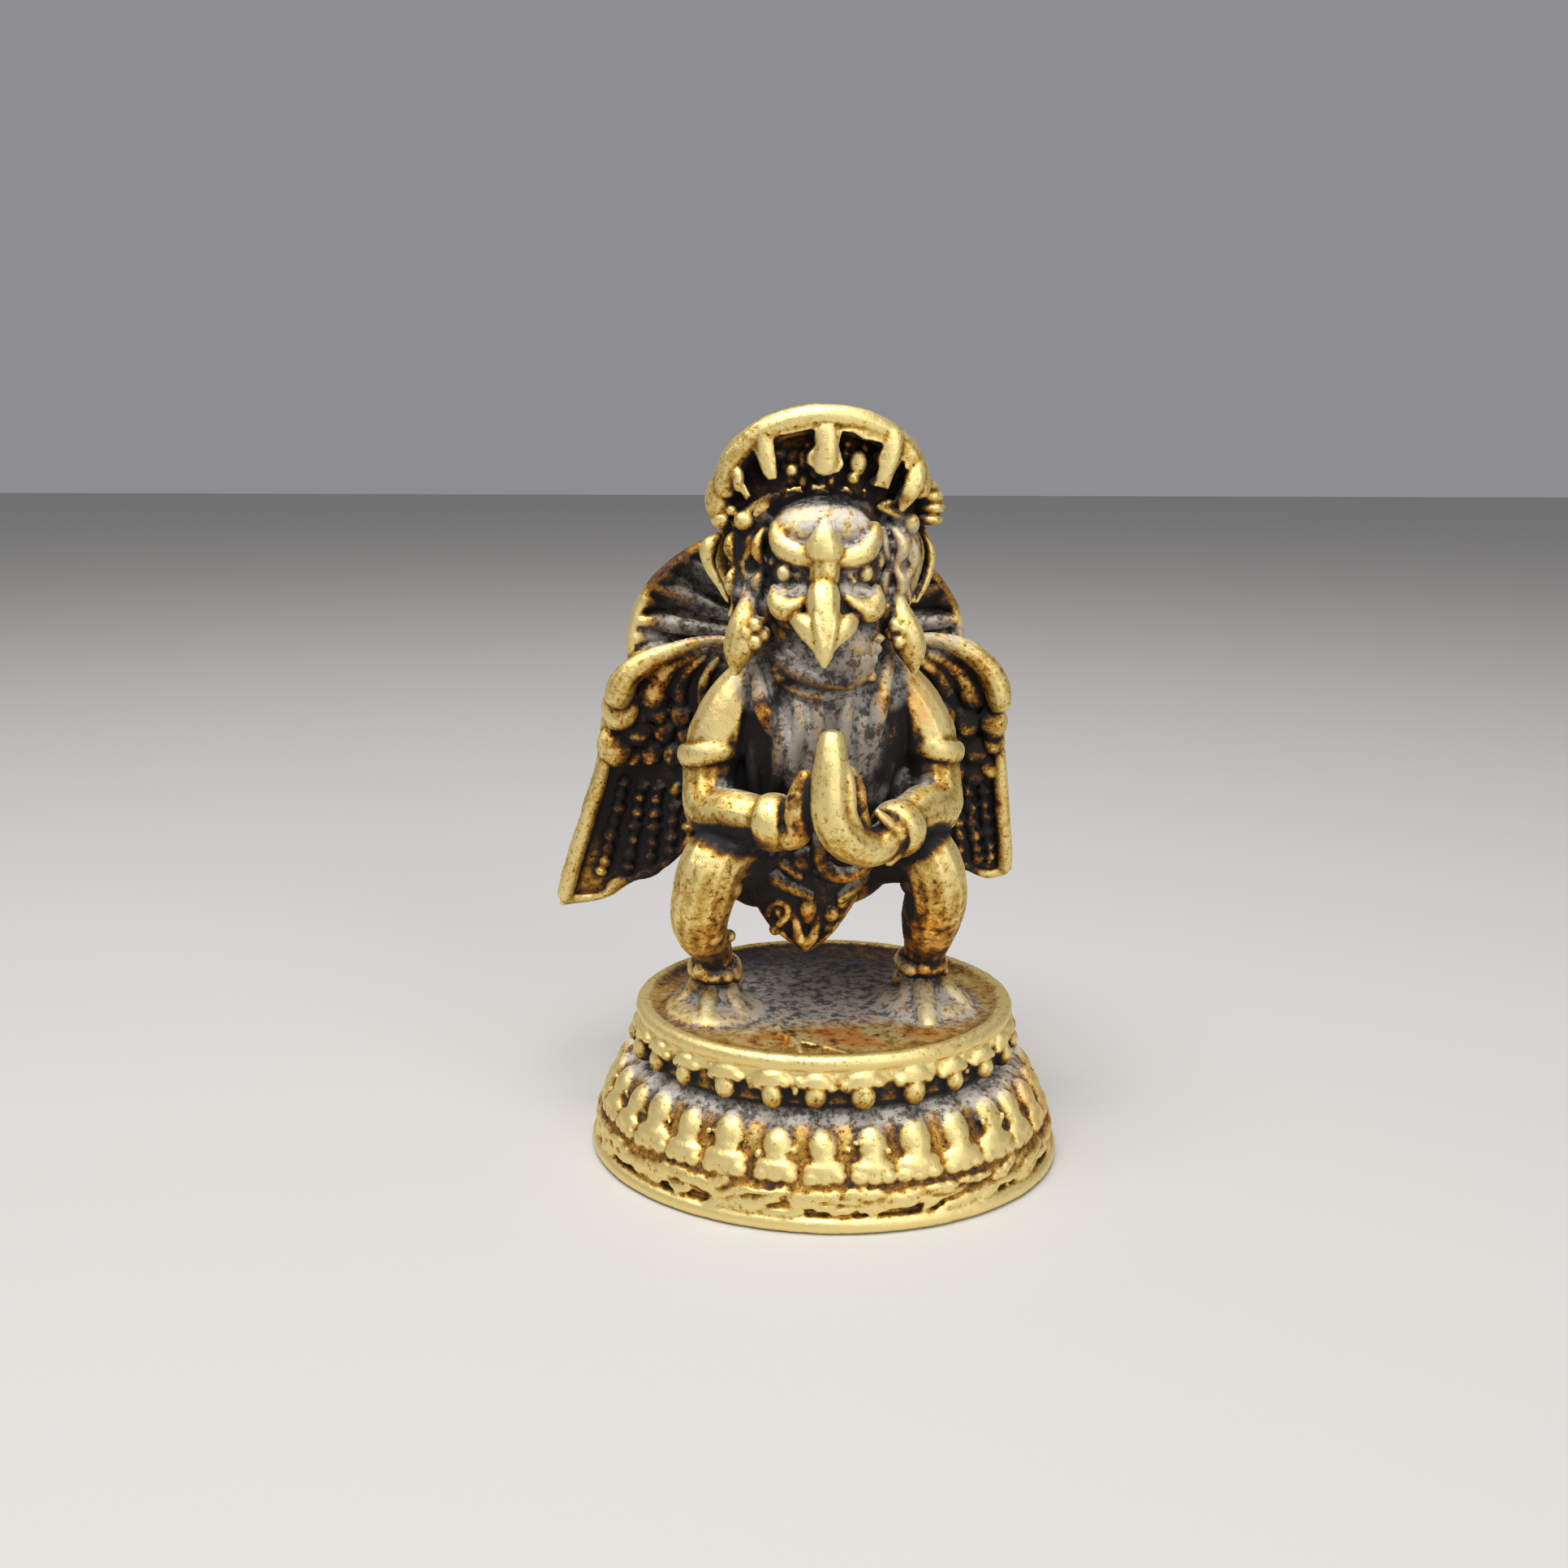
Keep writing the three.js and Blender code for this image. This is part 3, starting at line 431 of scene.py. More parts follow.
def legForms(leg):
    side, knee = leg["side"], leg["knee"]
    x, y, z = ankleBand["middle"]
    run = [
        (side * 5, 2, 25.5, 6.4), (side * 13, -6, 28, 6.2), (knee - side * 1.2, -11.4, 27.8, 5.5),
        (knee + side * 0.5, -12, 23.2, 5.3), (leg["shin"], -8.6, 16, leg["calf"]),
        (side * 18.3, -3.4, 9.6, leg["ankle"]), (side * 17.8, -1, 4, 3.3),
    ]
    lumps = [
        (knee - side * 3, -12.8, 24, 2.6), (knee + side * 2.4, -13.4, 20, 2.2),
        (knee - side * 0.6, -11.2, 15.4, 2), *leg["lumps"],
    ]
    return [
        strands([run]),
        *balls(lumps),
        ring((side * x, y, z), (0, -0.25, 1), ankleBand["radius"], ankleBand["thick"], ankleBand["wide"]),
        *balls([(side * x + 3.7 * math.sin(turn), y - 3.9 * math.cos(turn), z - 0.2 + random.uniform(-1, 1),
                 1.1 * vary(0.35)) for turn in ankleBand["studs"]]),
    ]


def apronForms():
    panel = stack([
        (-3, -4.5, 27, 10.6, 6), (-3, -6.6, 24, 10, 4.4), (-3, -6.9, 20.5, 8.8, 3.6),
        (-3.1, -6.7, 17, 6.8, 3.1), (-3.1, -6.1, 14, 4.5, 2.6), (-3, -5.5, 11.8, 2.3, 1.9),
        (-3, -5.1, 10.6, 0.8, 0.9),
    ])
    hems = strands([
        [(-11.6, -6, 20.2, 0.5), (-9.2, -7.6, 16.8, 0.7), (-6.2, -8, 13.6, 0.6), (-3.2, -7, 10.9, 0.6)],
        [(5.4, -6.8, 20.2, 0.5), (3.2, -7.8, 17, 0.6), (0.4, -8, 13.6, 0.6), (-2.6, -7, 11, 0.6)],
        [(-12, -7, 28, 1.1), (-9.4, -9.6, 24.8, 1.2), (-5.6, -10.6, 22.6, 1.1), (-2.8, -10.9, 21.2, 0.9)],
        [(-10, -8.6, 30, 0.9), (-7.2, -10.6, 27, 1.1), (-4.6, -11.2, 24.8, 0.9)],
        [(8.4, -7, 25.6, 0.9), (5.2, -9.4, 22.6, 1), (2.4, -10.4, 20.6, 0.8)],
    ])
    drop = strands([
        [(-4.6, -9.6, 18.6, 0.7), (-4.7, -9.7, 16, 0.9), (-3.1, -9.2, 13.2, 1.2), (-1.6, -9.5, 15.8, 0.9),
         (-1.3, -9.7, 18.4, 0.7)],
        [(-9.4, -8.6, 17.4, 0.5), (-8.8, -9, 19.4, 0.7), (-7, -9.8, 20, 0.8), (-6.2, -9.8, 18.2, 0.7),
         (-7.6, -9.3, 16.2, 0.7)],
        [(-3, -10.4, 21.4, 0.8), (-3, -10.6, 19.2, 1.5), (-3, -9.9, 17, 0.9)],
    ])
    bosses = balls([
        (-7.6, -9.2, 18.2, 0.7, 0.7, 0.9), (-8.2, -8.4, 14.9, 1, 0.8, 1),
        (0.9, -9.9, 17.8, 1.4, 1, 1.4), (2.5, -9.2, 19.6, 1.3, 1, 1.1), (2.4, -8.8, 17.4, 0.8),
        (0.4, -9, 15.4, 0.9), (-3, -8.6, 12.2, 1.1),
    ])
    return [panel, hems, drop, *bosses]


def sashForms():
    tails = strands([
        [(-1.6, -10, 33, 1.2), (-1.4, -11.6, 30.6, 1.4), (-1.2, -12.2, 27.8, 1.4), (0.6, -12.6, 25.6, 1.35),
         (3.4, -12.6, 25.2, 1.2), (6, -12, 26.4, 1.2), (7.6, -11.2, 28.4, 1)],
        [(-4, -10.4, 31.6, 1.2), (-7, -10.6, 29.4, 1.2), (-9.4, -10, 26.4, 0.9)],
    ])
    return [tails, *balls([
        (2.6, -11.4, 28.6, 2.6, 1.8, 2), (-4.2, -10.4, 27.6, 2.4, 1.8, 2.4), (1.2, -12.2, 29.6, 0.9),
    ])]


trunk = {
    "backFolds": (-9, -5.6, -2.2, 1.4, 5, 8.4),  # where across
    "lumps": 36,
}


def trunkForms():
    body = stack([
        (-3.4, 0, 16.6, 8, 5), (-3.2, 0, 18, 12, 7), (-1.8, -0.5, 21.5, 15, 9), (-2.2, -1, 28, 13.8, 9.8),
        (-1, -0.5, 34, 12.4, 9.6), (0.6, 0, 40, 14, 11.3), (0.2, 0.5, 47, 16.6, 12.2),
        (0, 0.8, 53, 16.4, 12.6), (0, 1, 58, 13.6, 12.5), (0, 2, 64, 11.6, 12), (0, 4, 70, 9, 9),
    ])
    chestFolds = strands([
        [(-5, -9.8, 55, 0.9), (-4.6, -11.4, 50, 1.3), (-5.4, -10.9, 44, 1.2), (-6, -9.3, 38, 0.9)],
        [(-2.2, -11, 55, 0.9), (-2, -12, 50, 1.2), (-2.8, -11.3, 44, 1.1), (-3.6, -9.6, 38, 0.8)],
        [(3, -10.6, 55, 0.9), (2.4, -11.9, 50, 1.3), (2, -11.4, 44, 1.1), (1.6, -10, 38, 0.8)],
        [(-8, -8.6, 53, 0.9), (-7.6, -10.1, 47, 1.4), (-8.2, -9.4, 41, 1.1), (-8.8, -8, 36, 0.8)],
        [(-12, -5.8, 47, 1), (-11.6, -6.6, 41, 1.2), (-10.8, -6.4, 35, 0.9)],
        [(5.2, -9.8, 52, 0.8), (5.2, -10.6, 47, 1.1), (5, -9.8, 42, 0.8)],
        [(10.8, -6, 47, 1), (10.4, -6.8, 41, 1.2), (9, -6.6, 35, 0.9)],
        [(-7.6, -9.6, 57, 0.8), (-3, -12.1, 55, 1), (1.6, -12.1, 55.4, 0.9), (6, -10.4, 57.2, 0.8)],
        [(-8.6, -9.8, 60.6, 1), (-5, -12.6, 58.4, 1.3), (-0.6, -13.6, 56.8, 1), (3, -12.8, 56.4, 0.7)],
    ], stretch=(1.05, 1.3, 1))
    scarfEnds = strands([
        [(-11.6, -7, 58.6, 0.8), (-11, -9, 55.4, 1.15), (-10.3, -10, 52, 1.2), (-9.4, -10.5, 48.6, 0.6)],
        [(10, -7.6, 60, 0.9), (9, -9.4, 56.6, 1.2), (8, -10.5, 52, 1.3), (7.2, -10.6, 47, 1),
         (6.8, -10.2, 43, 0.5)],
    ], stretch=(1.25, 1, 1))
    backFolds = strands([
        [(x, 11, 46, 1), (x * 1.02, 8.5, 36, 1.4), (x * 1.15, 7.4, 26, 1.4), (x * 0.9, 5.6, 19, 1.1)]
        for x in trunk["backFolds"]
    ])
    lumps = []
    for _ in range(trunk["lumps"]):
        size = random.uniform(0.5, 1.3)
        x, z = random.uniform(-8.5, 7.5), random.uniform(57.5, 64.5)
        place = (x, -13.4 + (x / 5.5) ** 2, z)
        lumps.append(ball(place, (size * vary(0.4), size * 0.8, size * vary(0.4))))
    return [body, chestFolds, scarfEnds, backFolds, *lumps,
            *balls([(-0.4, -8.1, 60.6, 8.4, 6.4, 6.4), (2.6, -9.6, 60, 5, 5.6, 5)])]


# Arms and hands

arms = {  # the cuff's place and the way that it faces
    "left": {"side": -1, "wrist": (-8.4, -16.6, 35.6), "cuff": (-9.3, -15.8, 35.2), "way": (1, -0.5, 0.02)},
    "right": {"side": 1, "wrist": (9.8, -18, 34.2), "cuff": (10.6, -16.6, 34), "way": (-5, -5.6, -1.4)},
}


def armForms(arm):
    side = arm["side"]
    sleeve = [(side * 10.4, -1.8, 57, 4), (side * 14, -2.6, 53, 4.7), (side * 16.6, -3, 48.6, 4.9),
              (side * 17.9, -3, 45, 4.9)]
    foreArm = [(side * 18.3, -3, 43.6, 4.4), (side * 18.9, -4.4, 38.8, 4.4), (side * 18.4, -7.6, 35.4, 4.5),
               (side * 14.6, -12.4, 35.5, 4.2), (*arm["wrist"], 3.2)]
    folds = [
        [(side * 12.4, -5.4, 56, 1), (side * 14.4, -6.4, 51, 1.3), (side * 15, -6.6, 46.6, 1)],
        [(side * 17.2, -4.4, 53, 1), (side * 19.4, -5, 49.4, 1.2), (side * 20.4, -4.8, 46.4, 0.9)],
    ]
    innerFold = [(side * 9.4, -1, 44.6, 2.4), (side * 12.4, -1.6, 41, 2.9), (side * 13.2, -2, 37.4, 2.6),
                 (side * 12, -2, 33.6, 2)]
    return [
        strands([sleeve, foreArm]),
        strands([*folds, innerFold]),
        ring((side * 18.3, -3, 44.4), (side * 0.2, 0.12, 1), 4.5, 1.3, 2),
        ring(arm["cuff"], arm["way"], 3.75, 1, 2.3),
    ]


def handForms():
    near = strands([[
        (-0.9, -21.2, 49, 2.2), (-1, -21.9, 46.4, 2.6), (-1.2, -22.3, 42.4, 3.1), (-1, -22.4, 38.4, 3.4),
        (0.6, -22, 34.8, 3.5), (3.5, -20.9, 32.4, 3.2), (6.4, -19.6, 31.8, 3), (8.6, -18.4, 33.2, 2.8),
    ]], stretch=(1, 1.1, 1))
    ridges = strands([
        [(0.4, -22.4, 47.6, 0.8), (1.4, -23.2, 43, 1.2), (1.8, -23.6, 38, 1.3), (3.2, -22.8, 34.6, 1.2)],
    ])
    far = strands([
        [(-4.6, -19.2, 42.8, 1.7), (-5.3, -19.6, 40.4, 2.2), (-5.8, -19.6, 37.4, 2.4),
         (-5.8, -19, 34.4, 2.4), (-7.4, -17.4, 33.6, 2.6)],
        [(2, -20.4, 44, 1.3), (3, -20.8, 41.4, 1.6), (3.4, -20.6, 37.8, 1.7), (4.6, -19.8, 34.8, 1.4)],
    ], stretch=(1, 1.15, 1))
    hem = strands([
        [(6.6, -20.6, 37.6, 0.7), (8.2, -20.4, 36, 1), (10, -19.6, 33.8, 1.1), (10.4, -18.6, 30.8, 0.9),
         (9, -18, 28.8, 0.8)],
    ])
    elbowFold = strands([
        [(9.6, -3, 43, 1.6), (12.6, -3.6, 39.6, 2.4), (13, -4, 36, 2.6), (11, -5, 32, 2.4)],
    ])
    return [near, ridges, far, hem, elbowFold]


# Head and face

face = {
    "eyes": ((-7.5, -14), (5.2, 14)),  # where across, and turned in degrees
    "eye": (1.2, 1.2, 1.4),
}


def faceForms():
    masses = balls([  # skull, muzzle and dome
        (-1, -4.8, 75.5, 10.3, 9.6, 10.4), (-1.4, -9.6, 68.8, 8, 7, 6), (-1.2, -8.5, 79.9, 8.5, 5.8, 5.4),
    ])
    brow = strands([
        [(-8.4, -9.6, 81, 1.3), (-7.9, -11.6, 78.8, 1.9), (-6, -13, 77.3, 2.15), (-3.6, -14, 76.6, 2),
         (-1.5, -14.2, 76.4, 2.3), (0.8, -14, 76.5, 1.8), (3.6, -13.4, 77, 1.95), (5.7, -12.2, 78.2, 1.95),
         (6.9, -9.8, 80.8, 1.4)],
    ])
    boss = strands([[(-1.5, -14.8, 81.9, 1), (-1.6, -15.2, 80.2, 1.8), (-1.6, -14.8, 78, 2.7)]],
                   stretch=(1.15, 1, 1))
    bridge = strands([
        [(-1.6, -13.8, 77.2, 3), (-1.6, -14.4, 75, 2.7), (-1.7, -14.8, 72.8, 2.5)],
    ])
    beak = strands([
        [(-1.8, -15.6, 71.9, 2.5), (-1.9, -16.8, 70.4, 2.7), (-2, -18.4, 67.4, 2.4),
         (-2.1, -19.6, 64.4, 1.9), (-2.1, -20.2, 62, 1.3), (-2.1, -20.3, 60.9, 0.6)],
        [(-3.1, -18.3, 70.6, 0.6), (-3.1, -20.2, 67.2, 0.8), (-2.6, -21.2, 63.6, 0.65)],
        [(-0.8, -18.3, 70.6, 0.6), (-0.8, -20.2, 67.2, 0.8), (-1.5, -21.2, 63.6, 0.65)],
    ], stretch=(1, 1.15, 1))
    flanges = strands([
        [(-5.9, -16.2, 67.3, 1.2), (-4.8, -17.9, 66.8, 1.8), (-3.6, -18.9, 65.4, 1.8),
         (-2.6, -19.7, 63.5, 1.3)],
        [(2.7, -16.2, 67.1, 1.2), (1.5, -17.9, 66.6, 1.8), (-0.3, -18.9, 65.3, 1.8),
         (-1.6, -19.7, 63.5, 1.3)],
        [(-3.2, -18.2, 67.4, 1.9), (-2, -19.2, 65.2, 1.5), (-0.8, -18.2, 67.4, 1.9)],
    ])
    cheeks = strands([
        [(-9, -11.6, 71.7, 0.8), (-8.6, -13, 70, 1.7), (-7.4, -14.1, 68.9, 2.1), (-5.8, -15, 69.4, 1.6),
         (-4.4, -15.6, 70.6, 0.9)],
        [(7.2, -11.6, 71.7, 0.8), (6.9, -13, 69.9, 1.7), (5.7, -14.1, 68.7, 2.1), (4, -15, 69.2, 1.6),
         (2, -15.6, 70.6, 0.9)],
    ])
    shelves = balls([(-6.4, -11.4, 71.2, 3.2, 2.8, 1.3), (3.6, -11.4, 71.2, 3.2, 2.8, 1.3)])
    eyes = [ball((x, -12.9, 74.2), face["eye"], (0, turn, 0)) for x, turn in face["eyes"]]
    pupils = balls([(-5.1, -13.3, 74, 1.05), (2.6, -13.3, 73.9, 0.7), (3.2, -13.2, 73, 0.7),
                    (-9.2, -10.4, 75.6, 0.7), (7.8, -10.2, 75.8, 0.8, 0.8, 1.4), (8.4, -9.4, 78, 0.7)])
    throat = balls([  # the beak's root first
        (-2, -18, 66.2, 3.9, 2.9, 2.9), (-0.2, -8.4, 63.6, 8, 6, 6), (2.4, -10.4, 62.4, 4.6, 4.8, 4),
        (-5.4, -9.4, 64.4, 3.4, 3.4, 3.6),
    ])
    throatFolds = strands([[(-8.4, -9.4, 65.4, 1), (-5, -12.4, 62.4, 1.2), (-1, -14, 60.6, 1.1)],
                           [(7.6, -9, 66, 0.9), (6.6, -11.6, 62.6, 1.1), (4.6, -12.6, 59.6, 0.9)]])
    return [*masses, brow, boss, bridge, beak, flanges, cheeks, *shelves, *eyes, *pupils, *throat,
            throatFolds]


hair = {
    "columns": {-1: (-15, -13, -11), 1: (9.2, 11, 12.8)},  # plaits beside the face: where across
    "backLocks": (-11, -8, -5, -2, 1, 4, 7, 10),
    "tufts": 36,
}


def hairForms():
    masses = balls([
        (0, -0.5, 76.5, 13.6, 8.8, 14), (-11.4, -4.2, 75.8, 4.2, 4.6, 9), (11.2, -4.2, 75.8, 4.4, 4.6, 9),
        (15, 0, 75.4, 3.4, 3.2, 6.6), (-15, 0.6, 76.4, 2.6, 3, 5.6),
        (-10, -5.4, 67.6, 3.4, 4.6, 4.6), (9.4, -5.4, 67.6, 3.4, 4.6, 4.6),
    ])
    locks = []
    for side, columns in hair["columns"].items():
        for number, x in enumerate(columns):
            depth = -9.6 + abs(abs(x) - 10.5) * 0.7
            sway = 0.65 if number % 2 else -0.6
            locks.append([
                (x - side * 0.6, depth + 0.6, 80.6, 0.7), (x + sway, depth - 0.4, 77.8, 1),
                (x - sway * 0.6, depth, 75, 0.65), (x + sway, depth - 0.3, 72.2, 0.95),
                (x - sway * 0.4, depth + 0.6, 69.4, 0.6), (x + sway * 0.6, depth + 1.4, 67, 0.5),
            ])
    curls = [
        [(-17.2, -2.6, 79.2, 0.8), (-18.6, -2.4, 77.4, 1.5), (-18.6, -2.6, 75, 1.1), (-17.2, -3.4, 72, 0.7),
         (-15.6, -4.4, 69.2, 0.5)],
        [(14.4, -4.4, 80, 0.7), (15.3, -4.2, 77.6, 0.8), (15, -4.6, 74.6, 0.75), (14.2, -5.4, 71.6, 0.6)],
        [(16.2, -3, 79.4, 0.6), (17.2, -3, 77.2, 0.9), (17.3, -3, 74.6, 0.9), (16.4, -3.6, 71.8, 0.8),
         (14.8, -4.8, 69, 0.5)],
        [(13, -7.4, 79.4, 0.8), (13.8, -7.4, 76.6, 1), (12.8, -7.8, 73.6, 0.9)],
    ]
    tufts = []
    for _ in range(hair["tufts"]):
        side = random.choice((-1, 1, -1))
        x = side * random.uniform(9.4, 15.4) - 0.4
        size = random.uniform(0.3, 0.75)
        tufts.append(ball((x, -9.1 + abs(abs(x) - 10.5) * 0.75, random.uniform(66.5, 80.5)),
                          (size * vary(0.4), size, size * vary(0.5))))
    backLocks = [
        [(x, 4.4, 86, 1), (x * 1.08, 7.2, 80, 1.4), (x * 1.02, 7.9, 74, 1.5), (x * 0.85, 7.2, 68, 1.2)]
        for x in hair["backLocks"]
    ]
    return [*masses, strands(locks), strands(curls), *tufts, strands(backLocks)]


def earringForms():
    drops = strands([
        [(-12.4, -8.4, 71.4, 1.1), (-12.9, -9.2, 69, 1.5), (-13.4, -9.8, 66.6, 2.2), (-13.8, -10, 64, 2.6),
         (-14.4, -10, 61.2, 2.2), (-14.9, -9.7, 58.6, 0.9)],
        [(10.8, -8.4, 70.8, 1.1), (11.4, -9.2, 68.4, 1.5), (12, -9.8, 66, 2.2), (12.7, -10, 63.6, 2.5),
         (13.5, -10, 61, 2), (13.9, -9.7, 58.6, 0.8)],
    ], stretch=(1.1, 1, 1))
    return [drops, *balls([
        (-11.9, -11.6, 66, 1.3), (-10.7, -11, 64.6, 1.3), (-12, -11.8, 63.4, 1.2), (-10.9, -11, 66.6, 0.8),
        (-13.4, -12, 64.8, 0.9), (10.4, -11.2, 65.8, 1.2), (9.8, -10.6, 64.4, 1.1), (11, -11.6, 63.2, 1.1),
        (11.6, -11.8, 65.2, 0.8),
    ])]


# Crown: a hollowed shell, a thick rim, five tongues over the hollow, a headband and knobs

crown = {
    "middle": (-0.8, 87), "halfWidth": 17.3, "halfHeight": 13,
    "edge": [  # the face's outline as x, z: round the arch, then back along the tabs and gaps
        (-17, 88.8), (-16.5, 92.4), (-12.1, 96.8), (-6.1, 98.8), (-0.9, 99.2), (4.3, 98.7), (9.5, 96.2),
        (13.4, 92.8), (15, 89), (13.6, 86), (11.2, 83.8), (10.6, 85.1), (11.8, 87.4), (13.1, 89.9),
        (11.6, 90.2), (11.4, 92), (9.9, 89.5), (9, 87), (6.6, 87.6), (7.7, 89.6), (7.2, 91.4), (8.1, 94.1),
        (4.9, 94.6), (3.3, 95.6), (1.4, 95.9), (1, 93.7), (1.8, 90.8), (1, 89.7), (-1.2, 89.1), (-3, 90.2),
        (-4, 91), (-3.9, 92.3), (-2.7, 93.7), (-2.9, 96.2), (-7.8, 95.2), (-9.3, 95.6), (-8.7, 91.5),
        (-8.5, 88.6), (-9.8, 88.4), (-10.6, 89.4), (-11.6, 91.9), (-12.7, 94.2), (-15.2, 93.1), (-15, 89.8),
        (-13.8, 88.5), (-12.4, 85.9), (-13.2, 85.2), (-14.4, 87), (-15.9, 88.4),
    ],
    "tabFront": -11.7, "tabBack": -7, "bow": 3.4, "bowWidth": 17,
    "rim": (  # strands round the arch: inset, depth and radius
        (1.9, -10.2, 1.9), (3, -9.4, 1.5), (0.9, -8.4, 0.95), (1.5, -7, 1.2), (1.5, -5, 1.3), (1.6, -3, 1.4),
    ),
    "crumbs": 70, "browCrumbs": 44,  # in the hollow, and on the edge over the brow
}


def onArch(t, inset, depth):
    angle = math.pi * (1.08 - 1.16 * t)
    x = crown["middle"][0] + (crown["halfWidth"] - inset) * math.cos(angle)
    z = crown["middle"][1] + (crown["halfHeight"] - inset) * math.sin(angle)
    return x, depth + crown["bow"] * math.cos(angle) ** 2, z


def crownForms():
    steps = [0.07 + 0.86 * index / 12 for index in range(13)]
    shell = ball((-0.8, -1.6, 86.6), (16, 5.2, 12))
    rim = strands([[(*onArch(t, inset, depth), radius) for t in steps]
                   for inset, depth, radius in crown["rim"]])
    tabs = plate(crown["edge"], crown["tabFront"], crown["tabBack"], crown["bow"], crown["bowWidth"])
    pads = balls([(-2.9, -10.6, 91.4, 0.9), (-14.4, -8.6, 88.4, 1, 1.4, 2), (12.7, -9, 88, 1, 1.4, 2.2)])
    tongues = strands([
        [(-1, -11, 96, 1.7), (-0.9, -11.5, 93, 1.6), (-1.2, -11.4, 90.6, 1.7)],
        [(-10.4, -9.8, 95.4, 1.3), (-10.2, -10.3, 92, 1.1), (-9.4, -10.3, 89.4, 0.9)],
        [(9.6, -10, 95, 1.5), (9.2, -10.6, 92, 1.3), (8, -10.7, 88.6, 1)],
        [(13.4, -7.8, 92.2, 1.2), (13.4, -9.4, 88.8, 1.5), (12.3, -10, 86, 1.2), (11.3, -9.8, 84, 0.6)],
    ], stretch=(1.1, 0.7, 1))
    headband = strands([
        [(-14.6, -6.6, 81.4, 0.7), (-11.8, -8, 84.2, 0.8), (-8.4, -8.8, 85.9, 0.6)],
        [(8, -7.8, 84.2, 0.6), (10.4, -7.4, 83, 0.9), (12.4, -6.6, 81.6, 0.7)],
        [(-11.6, -9.6, 83.2, 0.6), (-10.7, -10, 84.6, 1.1), (-9.7, -10, 85.9, 0.6)],
    ])
    crumbs = []
    for _ in range(crown["crumbs"]):
        t = random.uniform(0.1, 0.9)
        inset = random.uniform(5, 12.5)
        size = random.uniform(0.5, 1.3)
        place = onArch(t, inset, random.uniform(-8.2, -6.8))
        crumbs.append(ball(place, (size * vary(0.4), size, size * vary(0.4))))
    for _ in range(crown["browCrumbs"]):
        angle = random.uniform(0.1, 0.9) * math.pi
        size = random.uniform(0.25, 0.55)
        place = (-0.8 - 13.6 * math.cos(angle), -9.6 + 3 * math.cos(angle) ** 2,
                 80.6 + 6.4 * math.sin(angle) + random.uniform(-0.6, 0.6))
        crumbs.append(ball(place, (size * vary(0.5), size, size * vary(0.4))))
    knobs = balls([
        (14.4, -2, 84.6, 3.4, 3.4, 4), (-14.8, -2, 84.4, 3, 3.4, 4), (-17.2, -4.6, 85.2, 2.3, 3, 3.6),
        (-16.8, -5.2, 82.2, 1.8, 2.2, 1.6), (-13.4, -8, 82, 1.7, 1.4, 1.6), (-15.4, -7, 83.6, 0.9),
        (16.6, -4.8, 85.8, 2.3, 3, 1.3), (16.9, -4.8, 84, 2.3, 3, 1.1), (16.6, -5, 82.2, 2.2, 2.8, 1),
        (16, -4.8, 87.4, 1.9, 2.8, 1.1), (16.3, -4.4, 84.6, 2.2, 2.5, 3.2), (13.2, -8, 81.6, 1.4, 1.3, 1.7),
        (-6, -8.6, 89.8, 1.1), (4.4, -8.4, 91, 1.5, 1, 2), (3.6, -8.6, 88.6, 1),
    ])
    return [shell, rim, tabs, tongues, *pads, headband, *crumbs, *knobs]


# Wings

wingEdges = {
    "left": {
        "top": [(-11, 8, 60.5), (-17.2, 10, 60), (-25.6, 12, 58.6), (-30.8, 13, 56), (-34.4, 14, 52)],
        "outer": [(-34.4, 14, 52), (-35.8, 14, 46), (-37, 15, 38), (-40.6, 17.5, 28), (-44.8, 20, 11.4)],
        "bottom": [(-18, 12, 28), (-24.5, 15, 19.8), (-31, 18, 16.2), (-36, 19.5, 13), (-44.8, 20, 11.4)],
        "inner": [(-11, 8, 60.5), (-13, 9.5, 45), (-18, 12, 28)],
    },
    "right": {
        "top": [(11, 8, 60.5), (18.6, 10, 60), (26.4, 12, 58), (30.8, 13, 55), (33.6, 14, 50.5)],
        "outer": [(33.6, 14, 50.5), (34.8, 14.5, 44), (35.8, 16, 35), (37.2, 18, 26.4), (38.9, 20.5, 16.4)],
        "bottom": [(18, 12, 29), (24, 15, 21), (30, 18, 17.2), (34.5, 20, 14.8), (38.9, 20.5, 16.4)],
        "inner": [(11, 8, 60.5), (13, 9.5, 45), (18, 12, 29)],
    },
}
wing = {"thickness": 3.4, "cup": 2.6, "columns": 24, "rows": 32}


# A smooth line through places, by share of the way along
def along(places, t):
    spans = len(places) - 1
    span = min(int(t * spans), spans - 1)
    a, b, c, d = [Vector(places[min(max(span + step, 0), spans)]) for step in (-1, 0, 1, 2)]
    u = t * spans - span
    return 0.5 * (2 * b + (c - a) * u + (2 * a - 5 * b + 4 * c - d) * u ** 2
                  + (3 * b - a - 3 * c + d) * u ** 3)


# A place on a wing's face: across from the body and down from the shoulder
def onWing(edges, across, down):
    top, bottom = edges["top"], edges["bottom"]
    place = (along(top, across) * (1 - down) + along(bottom, across) * down
             + along(edges["inner"], down) * (1 - across) + along(edges["outer"], down) * across
             - along(top, 0) * (1 - across) * (1 - down) - along(top, 1) * across * (1 - down)
             - along(bottom, 0) * (1 - across) * down - along(bottom, 1) * across * down)
    cup = wing["cup"] * math.sin(math.pi * across) * math.sin(math.pi * min(1, down + 0.15))
    return Vector((place.x, place.y + cup, place.z))


